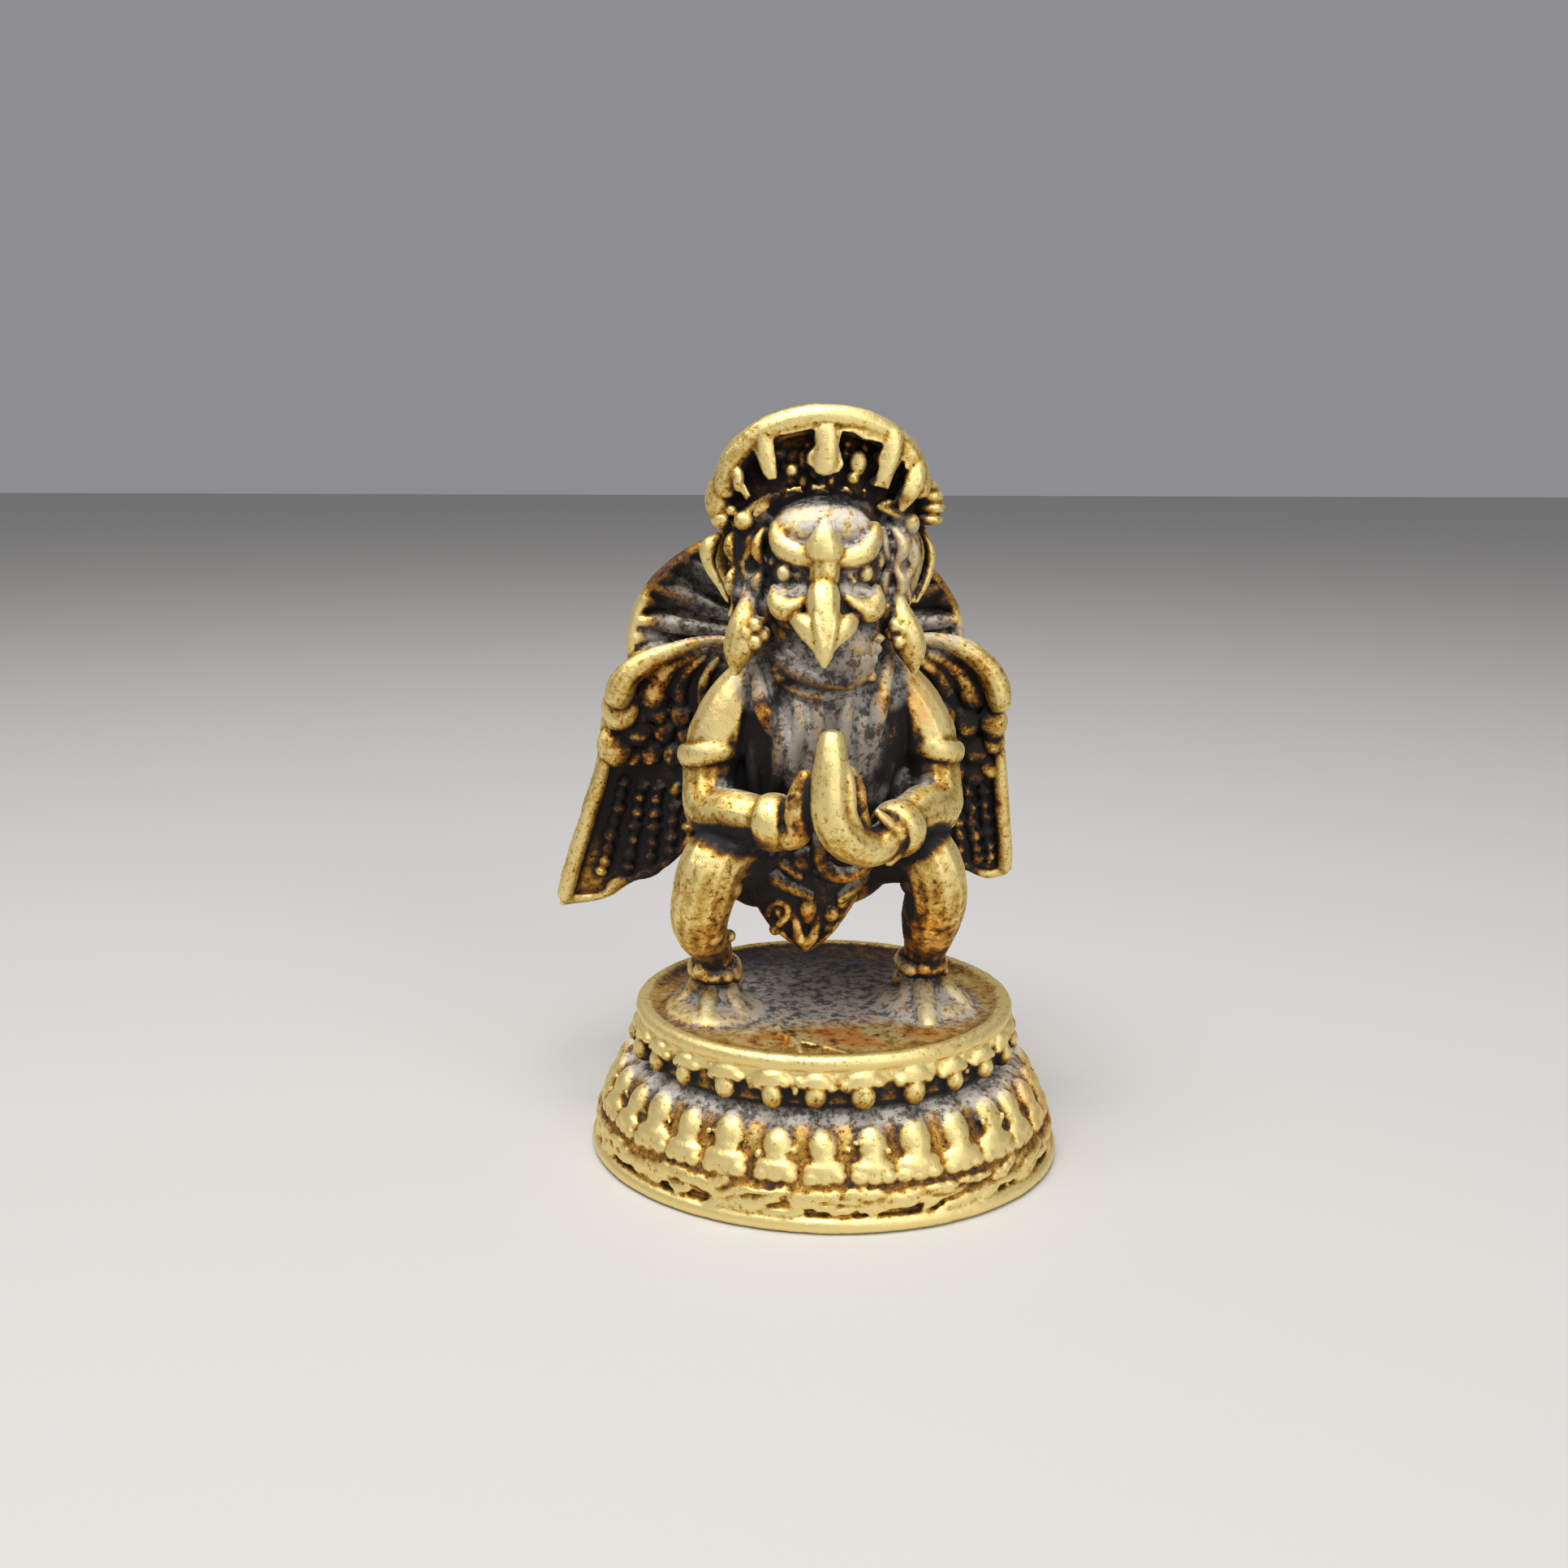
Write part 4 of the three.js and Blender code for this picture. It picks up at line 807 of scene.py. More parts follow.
def wingBlade(edges):
    bpy.ops.mesh.primitive_grid_add(x_subdivisions=wing["columns"], y_subdivisions=wing["rows"], size=1)
    blade = bpy.context.object
    for corner in blade.data.vertices:
        corner.co = at(*onWing(edges, corner.co.x + 0.5, 0.5 - corner.co.y))
    blade.data.update()
    thickened(blade, wing["thickness"])
    blade.location.y = wing["thickness"] * share / 2
    bpy.ops.object.transform_apply(location=True)
    return blade


# Drops a place in the front view back onto what is behind it
def onFace(surface, x, z, lift):
    start = at(x, -60, z)
    found = surface.ray_cast(start, Vector((0, 1, 0)))
    if not found[0]:
        found = surface.find_nearest(at(x, 15, z))
    return x, found[0].y / share - lift, z


feathers = {
    "left": {
        "roll": [(-13.4, 9, 60.9, 0.7), (-17.7, 10, 60.8, 1), (-24.2, 11, 59, 1.5), (-29.4, 11.6, 56.6, 2.1),
                 (-32.4, 12, 53.8, 2.5), (-33.5, 12, 51.2, 2.5)],
        "drops": [  # leaf-shaped coverts: top, middle, bottom and half width
            [(-19.8, 58.6, 0.7), (-23.6, 56.4, 1.4), (-26.4, 53.4, 2.3), (-27.5, 50.4, 2.6)],
            [(-18.6, 58, 0.5), (-21.6, 55, 0.9), (-22.9, 51.6, 1.1), (-22.6, 48.6, 1)],
            [(-16.4, 57.6, 0.5), (-18.6, 54, 0.9), (-19, 50, 0.9)],
        ],
        "scales": [  # x, z and half width
            (-34.4, 40.9, 2.7), (-31, 39.6, 1.5), (-27.9, 40, 1.9), (-24, 39.8, 1.7), (-20.4, 39.4, 1.6),
            (-30.4, 44.2, 2.3), (-25.6, 44, 1.7), (-21.6, 43.4, 1.6),
            (-33.2, 47.8, 2.9), (-29.4, 47.6, 1.5), (-26.7, 47.8, 1.8), (-22.8, 47, 1.6),
        ],
        "edge": [(-36.2, 38.4, 1.1), (-37.2, 34.6, 1.35), (-39.2, 28.5, 1.5), (-42, 20, 1.6),
                 (-43.7, 13.8, 1.5)],
        "quills": [
            [(-32.8, 35.6), (-34.8, 27), (-36.9, 18.4)], [(-29.7, 34.8), (-30.9, 26.8), (-32.4, 18.6)],
            [(-26.6, 34.6), (-27.4, 28), (-28.4, 20.6)], [(-23.6, 34.4), (-24.2, 28.8), (-24.8, 23)],
            [(-20.8, 34), (-21.2, 30), (-21.6, 26.6)],
        ],
        "hem": [(-43.4, 13.2, 1.2), (-39.8, 12.9, 1), (-36.4, 13.8, 0.9), (-34.6, 15.8, 0.9),
                (-31.6, 17, 0.9), (-28.4, 18.4, 0.9), (-25.4, 20.6, 0.8), (-21.4, 25.2, 0.7)],
    },
    "right": {
        "roll": [(15.4, 9.4, 60.9, 0.9), (20, 10.6, 60.7, 1.3), (25.4, 11.4, 59.4, 1.8),
                 (29.8, 12, 56.6, 2.3), (32.6, 12.3, 52.8, 2.5), (33.5, 12.2, 49.4, 2.2)],
        "drops": [
            [(20.4, 58, 0.8), (24.4, 56, 1.3), (27.6, 53, 1.9), (29.4, 49.8, 2.1)],
            [(17.6, 57.6, 0.7), (21.6, 55, 1.1), (23.9, 51.4, 1.5)],
            [(15.6, 56, 0.5), (18.8, 52.8, 0.8), (20.4, 49, 0.9)],
        ],
        "scales": [
            (22.4, 37.4, 1.8), (26.2, 35.6, 2), (30.4, 35.4, 2), (33.4, 36.6, 1.9),
            (21.8, 41.8, 1.8), (25.8, 40.4, 2), (30.2, 39.9, 2.3), (33.4, 41.4, 1.8),
            (24, 46, 1.8), (28.4, 44.8, 2.2), (33, 44.8, 2.3),
        ],
        "edge": [(34.5, 40, 1.1), (35.1, 35, 1.4), (36.1, 27, 1.5), (37.1, 20, 1.5), (37.4, 17.2, 1.4)],
        "quills": [
            [(32.2, 33), (33, 25.6), (34.2, 18.6)], [(29.2, 32.6), (30.2, 25.6), (31.6, 19.4)],
            [(26.2, 32.6), (27.2, 26.4), (28.2, 20.8)], [(23.2, 33), (24, 28), (24.8, 23)],
        ],
        "hem": [(37.3, 16.4, 1), (34.4, 15.8, 0.9), (30.4, 17.6, 0.9), (26, 20.2, 0.8), (21.6, 24.6, 0.7)],
    },
    "barb": 1.15,  # mm, from bead to bead along a quill
}


def wingForms(name):
    edges, plumage = wingEdges[name], feathers[name]
    blade = wingBlade(edges)
    surface = BVHTree.FromObject(blade, bpy.context.evaluated_depsgraph_get())
    forms = [blade, strands([plumage["roll"]])]
    leaves = [[(*onFace(surface, x, z, 0.5), wide * 1.15) for x, z, wide in leaf]
              for leaf in plumage["drops"]]
    forms.append(strands(leaves, stretch=(1, 0.7, 1)))
    for row, (x, z, wide) in enumerate(plumage["scales"]):
        reach = wide * 1.16
        middle = onFace(surface, x, z + reach * 0.3, 0.1 + 0.1 * row)
        forms.append(ball(middle, (reach, reach * 0.42, reach * 1.15), (-16, random.uniform(-8, 8), 0)))
        lobe = onFace(surface, x, z - reach * 0.4, 0.35 + 0.1 * row)
        forms.append(ball(lobe, (reach * 0.8, reach * 0.36, reach * 0.55), (-16, 0, 0)))
    edge = [(*onFace(surface, x, z, 0.6), wide) for x, z, wide in plumage["edge"]]
    hem = [(*onFace(surface, x, z, 0.1), wide * vary(0.3)) for x, z, wide in plumage["hem"]]
    forms.append(strands([edge, hem]))
    shafts = []
    for quill in plumage["quills"]:
        places = [(x, 0, z) for x, z in quill]
        count = int((Vector(places[-1]) - Vector(places[0])).length / feathers["barb"])
        line = []
        for index in range(count + 1):
            spot = along(places, index / count)
            wide = 1.35 * vary(0.15) if index % 2 else 0.75
            line.append((*onFace(surface, spot.x + random.uniform(-0.15, 0.15), spot.z, 0.35), wide))
        shafts.append(line)
    forms.append(strands(shafts))
    return forms


# Fan behind the head: a shallow pleated dish with a thick rim

fan = {
    "middle": (-2.4, 60), "halfWidth": 30.2, "halfHeight": 21,
    "back": 16, "dish": 3.2, "thickness": 3,
    "start": -0.08 * math.pi, "sweep": 1.16 * math.pi, "pleats": 12,
    "pleat": (  # reach, bend and radius
        (0.28, 0, 0.9), (0.5, 0.01, 1.3), (0.7, 0, 1.6), (0.84, -0.01, 1.4), (0.93, 0, 1),
    ),
    "backPleat": ((0.3, 0.5), (0.6, 0.8), (0.88, 1)),  # reach and radius
}


def onFan(turn, reach, lift):
    x = fan["middle"][0] + fan["halfWidth"] * reach * math.cos(turn)
    z = fan["middle"][1] + fan["halfHeight"] * reach * math.sin(turn)
    return x, fan["back"] - fan["dish"] * reach * reach - lift, z


def fanForms():
    turns = [fan["start"] + fan["sweep"] * index / 20 for index in range(21)]
    bpy.ops.mesh.primitive_circle_add(vertices=64, radius=1, fill_type="TRIFAN")
    dish = bpy.context.object
    bpy.ops.object.mode_set(mode="EDIT")
    bpy.ops.mesh.select_all(action="SELECT")
    bpy.ops.mesh.subdivide(number_cuts=5)
    bpy.ops.object.mode_set(mode="OBJECT")
    for corner in dish.data.vertices:
        turn, reach = math.atan2(corner.co.y, corner.co.x), corner.co.xy.length
        corner.co = at(*onFan(turn, reach * 0.965, -2.4))
    dish.data.update()
    thickened(dish, fan["thickness"])
    rim = strands([[(*onFan(turn, 0.945, -1.6), 1.2) for turn in turns]], stretch=(1, 2, 1))
    pleats, teeth, backPleats = [], [], []
    for index in range(fan["pleats"]):
        turn = fan["start"] + fan["sweep"] * (index + 0.5) / fan["pleats"]
        pleats.append([(*onFan(turn + bend, reach, 0.1), wide) for reach, bend, wide in fan["pleat"]])
        gap = turn + random.uniform(0.35, 0.65) * fan["sweep"] / fan["pleats"]
        tooth = ((0.93, 1.7), (0.86, 1), (random.uniform(0.7, 0.8), 0.4))
        teeth.append([(*onFan(gap, reach, -0.6), wide) for reach, wide in tooth])
        backPleats.append([(*onFan(turn, reach, -3.8), wide) for reach, wide in fan["backPleat"]])
    return [dish, rim, strands(pleats), strands(teeth), strands(backPleats),
            ball((-1, 12, 61), (12, 5.5, 9.5))]


# Surface marks: how shut in each spot of the casting is, near and far, and how proud it stands. The finish
# is darkened by how shut in a spot is, partly as the old wax and soot of the recesses and partly as painted
# shade.

marks = {
    "cell": 0.14,  # mm
    "fine": 0.22, "middle": 0.7, "wide": 2.2,  # mm, how far round a spot is looked at
    "standOff": 0.8,  # in those reaches, how far over the skin the look is taken
    "margin": 6,  # mm of open air kept round the casting
    "smoothing": 14,  # passes
    "fade": (0.75, 1.25),  # in reaches, where a brush begins and ends to fade
}

brushes = {  # where the finish differs: place and reach in shares, then how much
    "tarnish": [
        (0, -10, 44, 11, 9, 15, 0.55), (-9, -6, 46, 6, 8, 12, 0.9), (10, -6, 44, 6, 8, 12, 0.9),
        (-2.6, -12, 60, 8, 6, 4.6, 1), (-12.4, -7, 75, 4.6, 6, 8, 0.5), (0, 0, -7.4, 50, 46, 2.2, 0.3),
        (-1, -7, 88.6, 11.5, 2.6, 5, 0.15), (-1, -10.4, 85.6, 13, 2.4, 1.4, 1.1),
        (-19, 13, 70, 11, 6, 10, 1.15), (19, 13, 70, 9, 6, 8, 0.9), (-26, 15, 42, 9, 4, 8, 0.75),
        (-29, 16, 26, 9, 5, 12, 1.2), (-22, 14, 40, 6, 5, 16, 0.7), (27, 15, 42, 8, 4, 8, 0.7),
        (29, 17, 26, 6, 6, 12, 1.05), (22, 14, 40, 5, 5, 16, 0.7), (-3, -7, 31, 13, 8, 6, 0.9),
        # The brush at (-14.6, -12, 32.6) darkens the left thigh's top under the forearm: a painted shadow of
        # the forearm, not tarnish.
        (-3, -8, 24, 12, 7, 4, 0.7), (-3, -7, 16, 9, 5, 6, 0.4), (-14.6, -12, 32.6, 8, 8, 3.4, 1.15),
        (13, -11, 31.4, 6.4, 8, 4, 1.1), (11.4, -9, 22, 4, 8, 12, 1.2), (15, -12, 24, 4, 8, 9, 0.3),
        (-19, -6, 10, 5, 7, 1.6, 0.4), (19, -6, 10, 5, 7, 1.6, 0.4), (-11.6, -8, 21, 3.4, 8, 11, 0.9),
        (0, 0, 0, 24, 12, 1.4, 0.7), (0, 14, 0, 26, 14, 1.4, 0.9), (-18, -4, -0.2, 8, 9, 1.4, 0.4),
        (17.6, -4, -0.2, 8, 9, 1.4, 0.4), (2.4, -12, 28, 6, 4, 4, 0.8), (-5.4, -20, 39, 2, 4, 6, 0.6),
        (3.4, -21, 41, 1.6, 3, 4, 0.4), (-12.4, -6, 41, 2.6, 5, 4, 0.9), (12.4, -5, 40, 3, 5, 4, 0.7),
        (-11.4, -6.4, 52, 2.6, 6, 7, 0.6), (11.4, -6.4, 51, 2.6, 6, 7, 0.6),
    ],
    "handled": [
        (-6, -13, 74, 4, 3, 1.6, 0.7), (3.4, -13, 74, 4, 3, 1.6, 0.7), (-1.6, -16, 78, 8, 4, 3.4, 0.3),
        (-2, -20, 67, 5, 5, 7, 0.4), (0, -14, 94, 20, 5, 8, 0.4), (0, -22, 44, 4, 6, 9, 0.25),
        (-17, -6, 53, 4, 6, 7, 0.9), (17, -6, 53, 4, 6, 7, 0.9), (0, 0, -15.6, 50, 46, 4, 0.7),
        (0, 0, -2.4, 50, 46, 1.8, 2), (0, 0, -24, 50, 46, 4, 0.9), (2, -19.6, 0, 17, 4.6, 0.8, 0.85),
        (-26, -6, 0, 5, 9, 0.8, 0.4), (12.4, -9, 75, 3, 5, 6, 0.45), (-31, 14, 68, 2.6, 6, 9, 0.9),
        (-27, 14, 76, 2.6, 6, 3, 0.8), (-22, 14, 79, 5, 6, 3, 0.5), (27, 14, 68, 3, 6, 9, 0.5),
        (-19.6, -9, 0, 2.4, 5, 2, 1.1), (17, -11, 0, 2, 5, 2, 1.1), (-24, -4, 0, 2, 3, 2, 0.5),
        (-26, 11, 53, 3, 5, 3, 0.4), (-3, -10, 13.4, 1.6, 2, 1.6, 0.7), (-21, -14, 29, 3, 5, 2.4, 0.35),
        (20, -14, 29, 3, 5, 2.4, 0.35),
    ],
    "amber": [
        (-11, -9.6, 53.4, 2.6, 3, 6, 0.5), (8.6, -9.6, 52, 3, 3, 9, 0.5), (-15, -5, 51, 4, 5, 5, 0.2),
        (15, -5, 53, 4, 5, 5, 0.4), (-24, 12, 54, 7, 5, 5, 0.6), (25, 12, 54, 7, 5, 5, 0.4),
        (-27, 14, 41, 8, 5, 6, 0.5), (27, 14, 41, 8, 5, 6, 0.4), (-30, 16, 27, 8, 5, 9, 0.5),
        (30, 17, 27, 7, 5, 9, 0.5), (-17, -13, 18, 5, 5, 7, 0.3), (17, -12, 16, 6, 6, 8, 0.4),
        (-3, -9, 17, 8, 4, 6, 0.4), (-6, -20, 38, 2.2, 4, 5, 0.6), (3.6, -21, 40, 1.6, 3, 4, 0.6),
        (2, -19.6, 0, 17, 4.6, 0.8, 0.9), (2, -10, 0, 8, 4, 0.8, 0.5), (3, -14, 26, 6, 3, 3, 0.4),
        (-4.6, -13, 74, 1.6, 3, 2, 0.5), (-13, -7, 74, 4, 4, 7, 0.4), (11.6, -7, 75, 3, 4, 6, 0.4),
        (38, 0, -14, 10, 26, 12, 0.3), (-18, -4, 7, 5, 5, 2.4, 0.5), (18.6, -4, 7, 5, 5, 2.4, 0.5),
    ],
    "bloom": [
        (0.6, -12, 61.4, 8, 5, 5, 1), (-1, -12.6, 82.6, 7.6, 5, 2, 1.2), (3.4, -13.6, 80.4, 3, 3, 2.4, 0.9),
        (-5, -13.6, 80.4, 2, 3, 1.6, 0.4), (0.4, -11, 48, 9, 4, 10, 1.2), (-11.6, -7, 56, 3.4, 5, 4, 0.7),
        (11, -7, 56, 3, 5, 4, 0.7), (-19, 15, 61.6, 12, 6, 4, 1), (20, 15, 61, 12, 6, 4, 0.9),
        (-19, 15, 68, 6, 6, 6, 0.3), (-17, -8, 0.6, 9, 8, 3, 0.4), (18.6, -8, 0.6, 9, 8, 3, 0.55),
        (-12, -7, 71, 3.4, 5, 3, 0.7), (11.6, -8, 76, 4.4, 6, 7, 0.6), (0, -6, 0, 14, 8, 0.8, 0.15),
        (-5.6, -12, 74, 3, 3, 2.4, 0.5), (3.4, -12, 74, 3, 3, 2.4, 0.6),
        (-6.4, -13, 71.8, 3.4, 3, 1.2, 0.7), (3.6, -13, 71.8, 3.4, 3, 1.4, 0.8),
        (9, -12, 37.6, 3, 5, 2.6, 0.4), (-15, -6, 31, 6, 8, 2.4, 0.2), (0, 0, -9.8, 42, 38, 1.6, 1),
        (-16, 9, 59, 5, 4, 3, 0.5), (12, -3, 38, 2.6, 4, 4, 0.6),
    ],
}


def filledCells(pieces, low, shape):
    filled = np.zeros(shape, bool)
    cell = marks["cell"]
    up = Vector((0, 0, 1))
    for piece in pieces:
        surface = BVHTree.FromObject(piece, bpy.context.evaluated_depsgraph_get())
        corners = np.array([corner[:] for corner in piece.bound_box])
        first = np.floor((corners.min(0) - low) / cell).astype(int)
        last = np.ceil((corners.max(0) - low) / cell).astype(int)
        below = corners.min(0)[2] - 1
        for i in range(first[0], last[0]):
            for j in range(first[1], last[1]):
                # Off the middle of the cell, so that no ray runs along an edge
                start = Vector((low[0] + (i + 0.503) * cell, low[1] + (j + 0.497) * cell, below))
                entered = None
                spot, normal, _, _ = surface.ray_cast(start, up)
                while spot is not None:
                    if normal.z < 0 and entered is None:
                        entered = spot.z
                    elif normal.z >= 0 and entered is not None:
                        bottom = math.ceil((entered - low[2]) / cell - 0.5)
                        top = math.floor((spot.z - low[2]) / cell - 0.5)
                        filled[i, j, bottom:top + 1] = True
                        entered = None
                    spot, normal, _, _ = surface.ray_cast(spot + up * 0.003, up)
    return filled


def blurred(spectrum, shape, sigma):
    waves = (np.fft.fftfreq(shape[0]), np.fft.fftfreq(shape[1]), np.fft.rfftfreq(shape[2]))
    for axis, wave in enumerate(waves):
        fade = np.exp(-2 * (math.pi * wave * sigma / marks["cell"]) ** 2)
        spectrum = spectrum * fade.reshape([-1 if axis == other else 1 for other in range(3)])
    return np.fft.irfftn(spectrum, shape).astype(np.float32)


def sampled(grid, low, points):
    spots = (points - low) / marks["cell"] - 0.5
    base = np.floor(spots).astype(int)
    part = spots - base
    total = np.zeros(len(points))
    for corner in range(8):
        steps = np.array((corner & 1, corner >> 1 & 1, corner >> 2 & 1))
        weight = np.where(steps, part, 1 - part).prod(1)
        index = np.clip(base + steps, 0, np.array(grid.shape) - 1)
        total += weight * grid[index[:, 0], index[:, 1], index[:, 2]]
    return total


# How far each corner stands above the surface smoothed round it, in mm
def proudness(mesh, points, normals):
    edges = np.zeros(len(mesh.edges) * 2, np.int32)
    mesh.edges.foreach_get("vertices", edges)
    one, other = edges[0::2], edges[1::2]
    count = np.bincount(one, minlength=len(points)) + np.bincount(other, minlength=len(points))
    smooth = points.copy()
    for _ in range(marks["smoothing"]):
        around = [np.bincount(one, smooth[other, axis], len(points))
                  + np.bincount(other, smooth[one, axis], len(points)) for axis in range(3)]
        smooth = 0.5 * smooth + 0.5 * np.stack(around, 1) / np.maximum(count, 1)[:, None]
    return ((points - smooth) * normals).sum(1)


def brushed(name, points):
    total = np.zeros(len(points))
    inner, outer = marks["fade"]
    for x, y, z, reachX, reachY, reachZ, amount in brushes[name]:
        away = (points - np.array(at(x, y, z))) / (np.array((reachX, reachY, reachZ)) * share)
        near = np.clip((outer - np.sqrt((away ** 2).sum(1))) / (outer - inner), 0, 1)
        total = np.maximum(total, near * near * (3 - 2 * near) * amount)
    return total


def markSurfaces(pieces):
    corners = np.array([corner[:] for piece in pieces for corner in piece.bound_box])
    low = corners.min(0) - marks["margin"]
    shape = tuple(int(size) for size in np.ceil((corners.max(0) + marks["margin"] - low) / marks["cell"]))
    spectrum = np.fft.rfftn(filledCells(pieces, low, shape).astype(np.float32))
    grids = {name: blurred(spectrum, shape, marks[name]) for name in ("fine", "middle", "wide")}
    for piece in pieces:
        mesh = piece.data
        points = np.zeros(len(mesh.vertices) * 3)
        normals = np.zeros(len(mesh.vertices) * 3)
        mesh.vertices.foreach_get("co", points)
        mesh.vertices.foreach_get("normal", normals)
        points, normals = points.reshape(-1, 3), normals.reshape(-1, 3)
        values = {name: sampled(grid, low, points + normals * marks[name] * marks["standOff"])
                  for name, grid in grids.items()}
        values["proud"] = proudness(mesh, points, normals)
        values.update({name: brushed(name, points) for name in brushes})
        for name, value in values.items():
            layer = mesh.attributes.new(name, "FLOAT", "POINT")
            layer.data.foreach_set("value", value.astype(np.float32))


# Materials

def linear(hexColour):
    channels = [int(hexColour[start:start + 2], 16) / 255 for start in (1, 3, 5)]
    return [c / 12.92 if c <= 0.04045 else ((c + 0.055) / 1.055) ** 2.4 for c in channels] + [1]


def perMm(size):  # texture scale for a pattern of that size in mm
    return 1000 / size


# Adds a node with its settings and links, and gives back its first output
def addNode(tree, kind, settings=None, **inputs):
    node = tree.nodes.new(kind)
    for name, value in (settings or {}).items():
        setattr(node, name, value)
    for name, value in inputs.items():
        socket = node.inputs[int(name[1:])] if name[1:].isdigit() else node.inputs[name.replace("_", " ")]
        if isinstance(value, bpy.types.NodeSocket):
            tree.links.new(value, socket)
        else:
            socket.default_value = value
    return next(output for output in node.outputs if output.enabled)


finish = {
    # The dark end of these colours stands partly for old wax and soot in the recesses and partly for painted
    # shade.
    "colours": [  # from shut in to handled bright
        (0.0, "#060302"), (0.2, "#160c06"), (0.36, "#55330f"), (0.5, "#936729"), (0.64, "#bd9244"),
        (0.8, "#d8b761"), (1.0, "#f5e09c"),
    ],
    "dust": "#d2cabc", "film": "#9b948b", "orange": "#ffbe70",
    "noises": {  # size in mm, detail and roughness
        "patches": (2.2, 3, 0.6), "blotches": (0.6, 4, 0.6),
        "specks": (0.22, 3, 0.7), "grain": (0.1, 2, 0.6),
    },
    "crackle": 0.24, "wander": 0.4,  # mm, from crack to crack, and the size and reach of their bends
    "bumpStrength": 0.18, "bumpHeight": 0.06,  # height in mm
}

# How the marks and noises are worked up: what is made, how, and from what. Each SMOOTHSTEP is 0 at
# its first number and 1 at its second.
workings = [
    ("cracked", "SMOOTHSTEP", "cracks", 0.09, 0.02),
    ("cracksHere", "SMOOTHSTEP", "blotches", 0.42, 0.6),
    ("crackle", "MULTIPLY", "cracked", "cracksHere"),
    ("pits", "SMOOTHSTEP", "specks", 0.44, 0.34),
    # Wear and shade run from 0 where the casting is shut in to 1 where it is open and proud. The darkening
    # where it is shut in is partly old wax and soot and partly painted shade, the tarnish brushes include a
    # painted shadow, and what faces down is darkened as painted shade.
    ("openMiddle", "SMOOTHSTEP", "middle", 0.42, 0.14),
    ("openFine", "SMOOTHSTEP", "fine", 0.38, 0.13),
    ("openWide", "SMOOTHSTEP", "wide", 0.46, 0.12),
    ("ridges", "SMOOTHSTEP", "proud", -0.03, 0.035),
    ("amberHere", "MULTIPLY_ADD", "blotches", 4, -2.1),
    ("amberBlotches", "MULTIPLY", "amber", "amberHere"),
    ("unhandled", "SMOOTHSTEP", "handled", 1.6, 0.6),
    ("pitted", "MULTIPLY", "pits", "unhandled"),
    # What faces down is made darker: painted shade.
    ("undersides", "SMOOTHSTEP", "upward", 0.1, -0.7),
    ("wear", "MULTIPLY_ADD", "openMiddle", 0.36, -1.04),
    ("wear", "MULTIPLY_ADD", "openFine", 0.28, "wear"),
    ("wear", "MULTIPLY_ADD", "openWide", 0.24, "wear"),
    ("wear", "MULTIPLY_ADD", "ridges", 0.36, "wear"),
    ("wear", "MULTIPLY_ADD", "patches", 0.62, "wear"),
    ("wear", "MULTIPLY_ADD", "blotches", 0.66, "wear"),
    ("wear", "MULTIPLY_ADD", "specks", 0.5, "wear"),
    ("wear", "MULTIPLY_ADD", "tarnish", -0.62, "wear"),
    ("wear", "MULTIPLY_ADD", "handled", 0.4, "wear"),
    ("wear", "ADD", "wear", "amberBlotches"),
    ("wear", "MULTIPLY_ADD", "crackle", -0.16, "wear"),
    ("wear", "MULTIPLY_ADD", "pitted", -0.26, "wear"),
    ("wear", "MULTIPLY_ADD", "undersides", -0.2, "wear"),
    ("warmHere", "SMOOTHSTEP", "patches", 0.4, 0.58),
    ("warm", "MULTIPLY", "amber", "warmHere"),
    # Dust lies on what faces up and is a little shut in; the brushed bloom is a greyer film
    ("level", "SMOOTHSTEP", "upward", 0.15, 0.85),
    ("nooks", "SMOOTHSTEP", "wide", 0.15, 0.34),
    ("ledges", "MULTIPLY", "level", "nooks"),
    ("mottle", "MULTIPLY", "blotches", 0.6),
    ("mottle", "MULTIPLY_ADD", "specks", 0.5, "mottle"),
    ("settled", "SMOOTHSTEP", "mottle", 0.46, 0.62),
    ("film", "MULTIPLY_ADD", "settled", 0.9, 0.16),
    ("film", "MULTIPLY", "film", "bloom"),
    ("notDeep", "SMOOTHSTEP", "middle", 0.72, 0.36),
    ("film", "MULTIPLY", "film", "notDeep"),
    ("dust", "MULTIPLY_ADD", "settled", 0.6, 0.1),
    ("dust", "MULTIPLY", "dust", "ledges"),
    ("untouched", "SMOOTHSTEP", "handled", 0.7, 0),
    ("dust", "MULTIPLY", "dust", "untouched"),
    ("paler", "SMOOTHSTEP", "upward", -0.1, 0.7),
    ("covered", "MAXIMUM", "film", "dust"),
    ("bare", "SUBTRACT", 1, "covered"),
    ("metallic", "SMOOTHSTEP", "wear", 0.24, 0.6),
    ("metallic", "MULTIPLY", "metallic", "bare"),
    ("roughness", "SMOOTHSTEP", "wear", 0.2, 0.9),
    ("roughness", "MULTIPLY_ADD", "roughness", -0.24, 0.88),
    ("roughness", "MULTIPLY_ADD", "bare", -0.16, "roughness"),
    ("roughness", "MULTIPLY_ADD", "grain", 0.1, "roughness"),
    ("height", "MULTIPLY_ADD", "crackle", -0.6, "grain"),
    ("height", "MULTIPLY_ADD", "specks", 0.7, "height"),
    ("height", "MULTIPLY_ADD", "pits", -0.8, "height"),
]
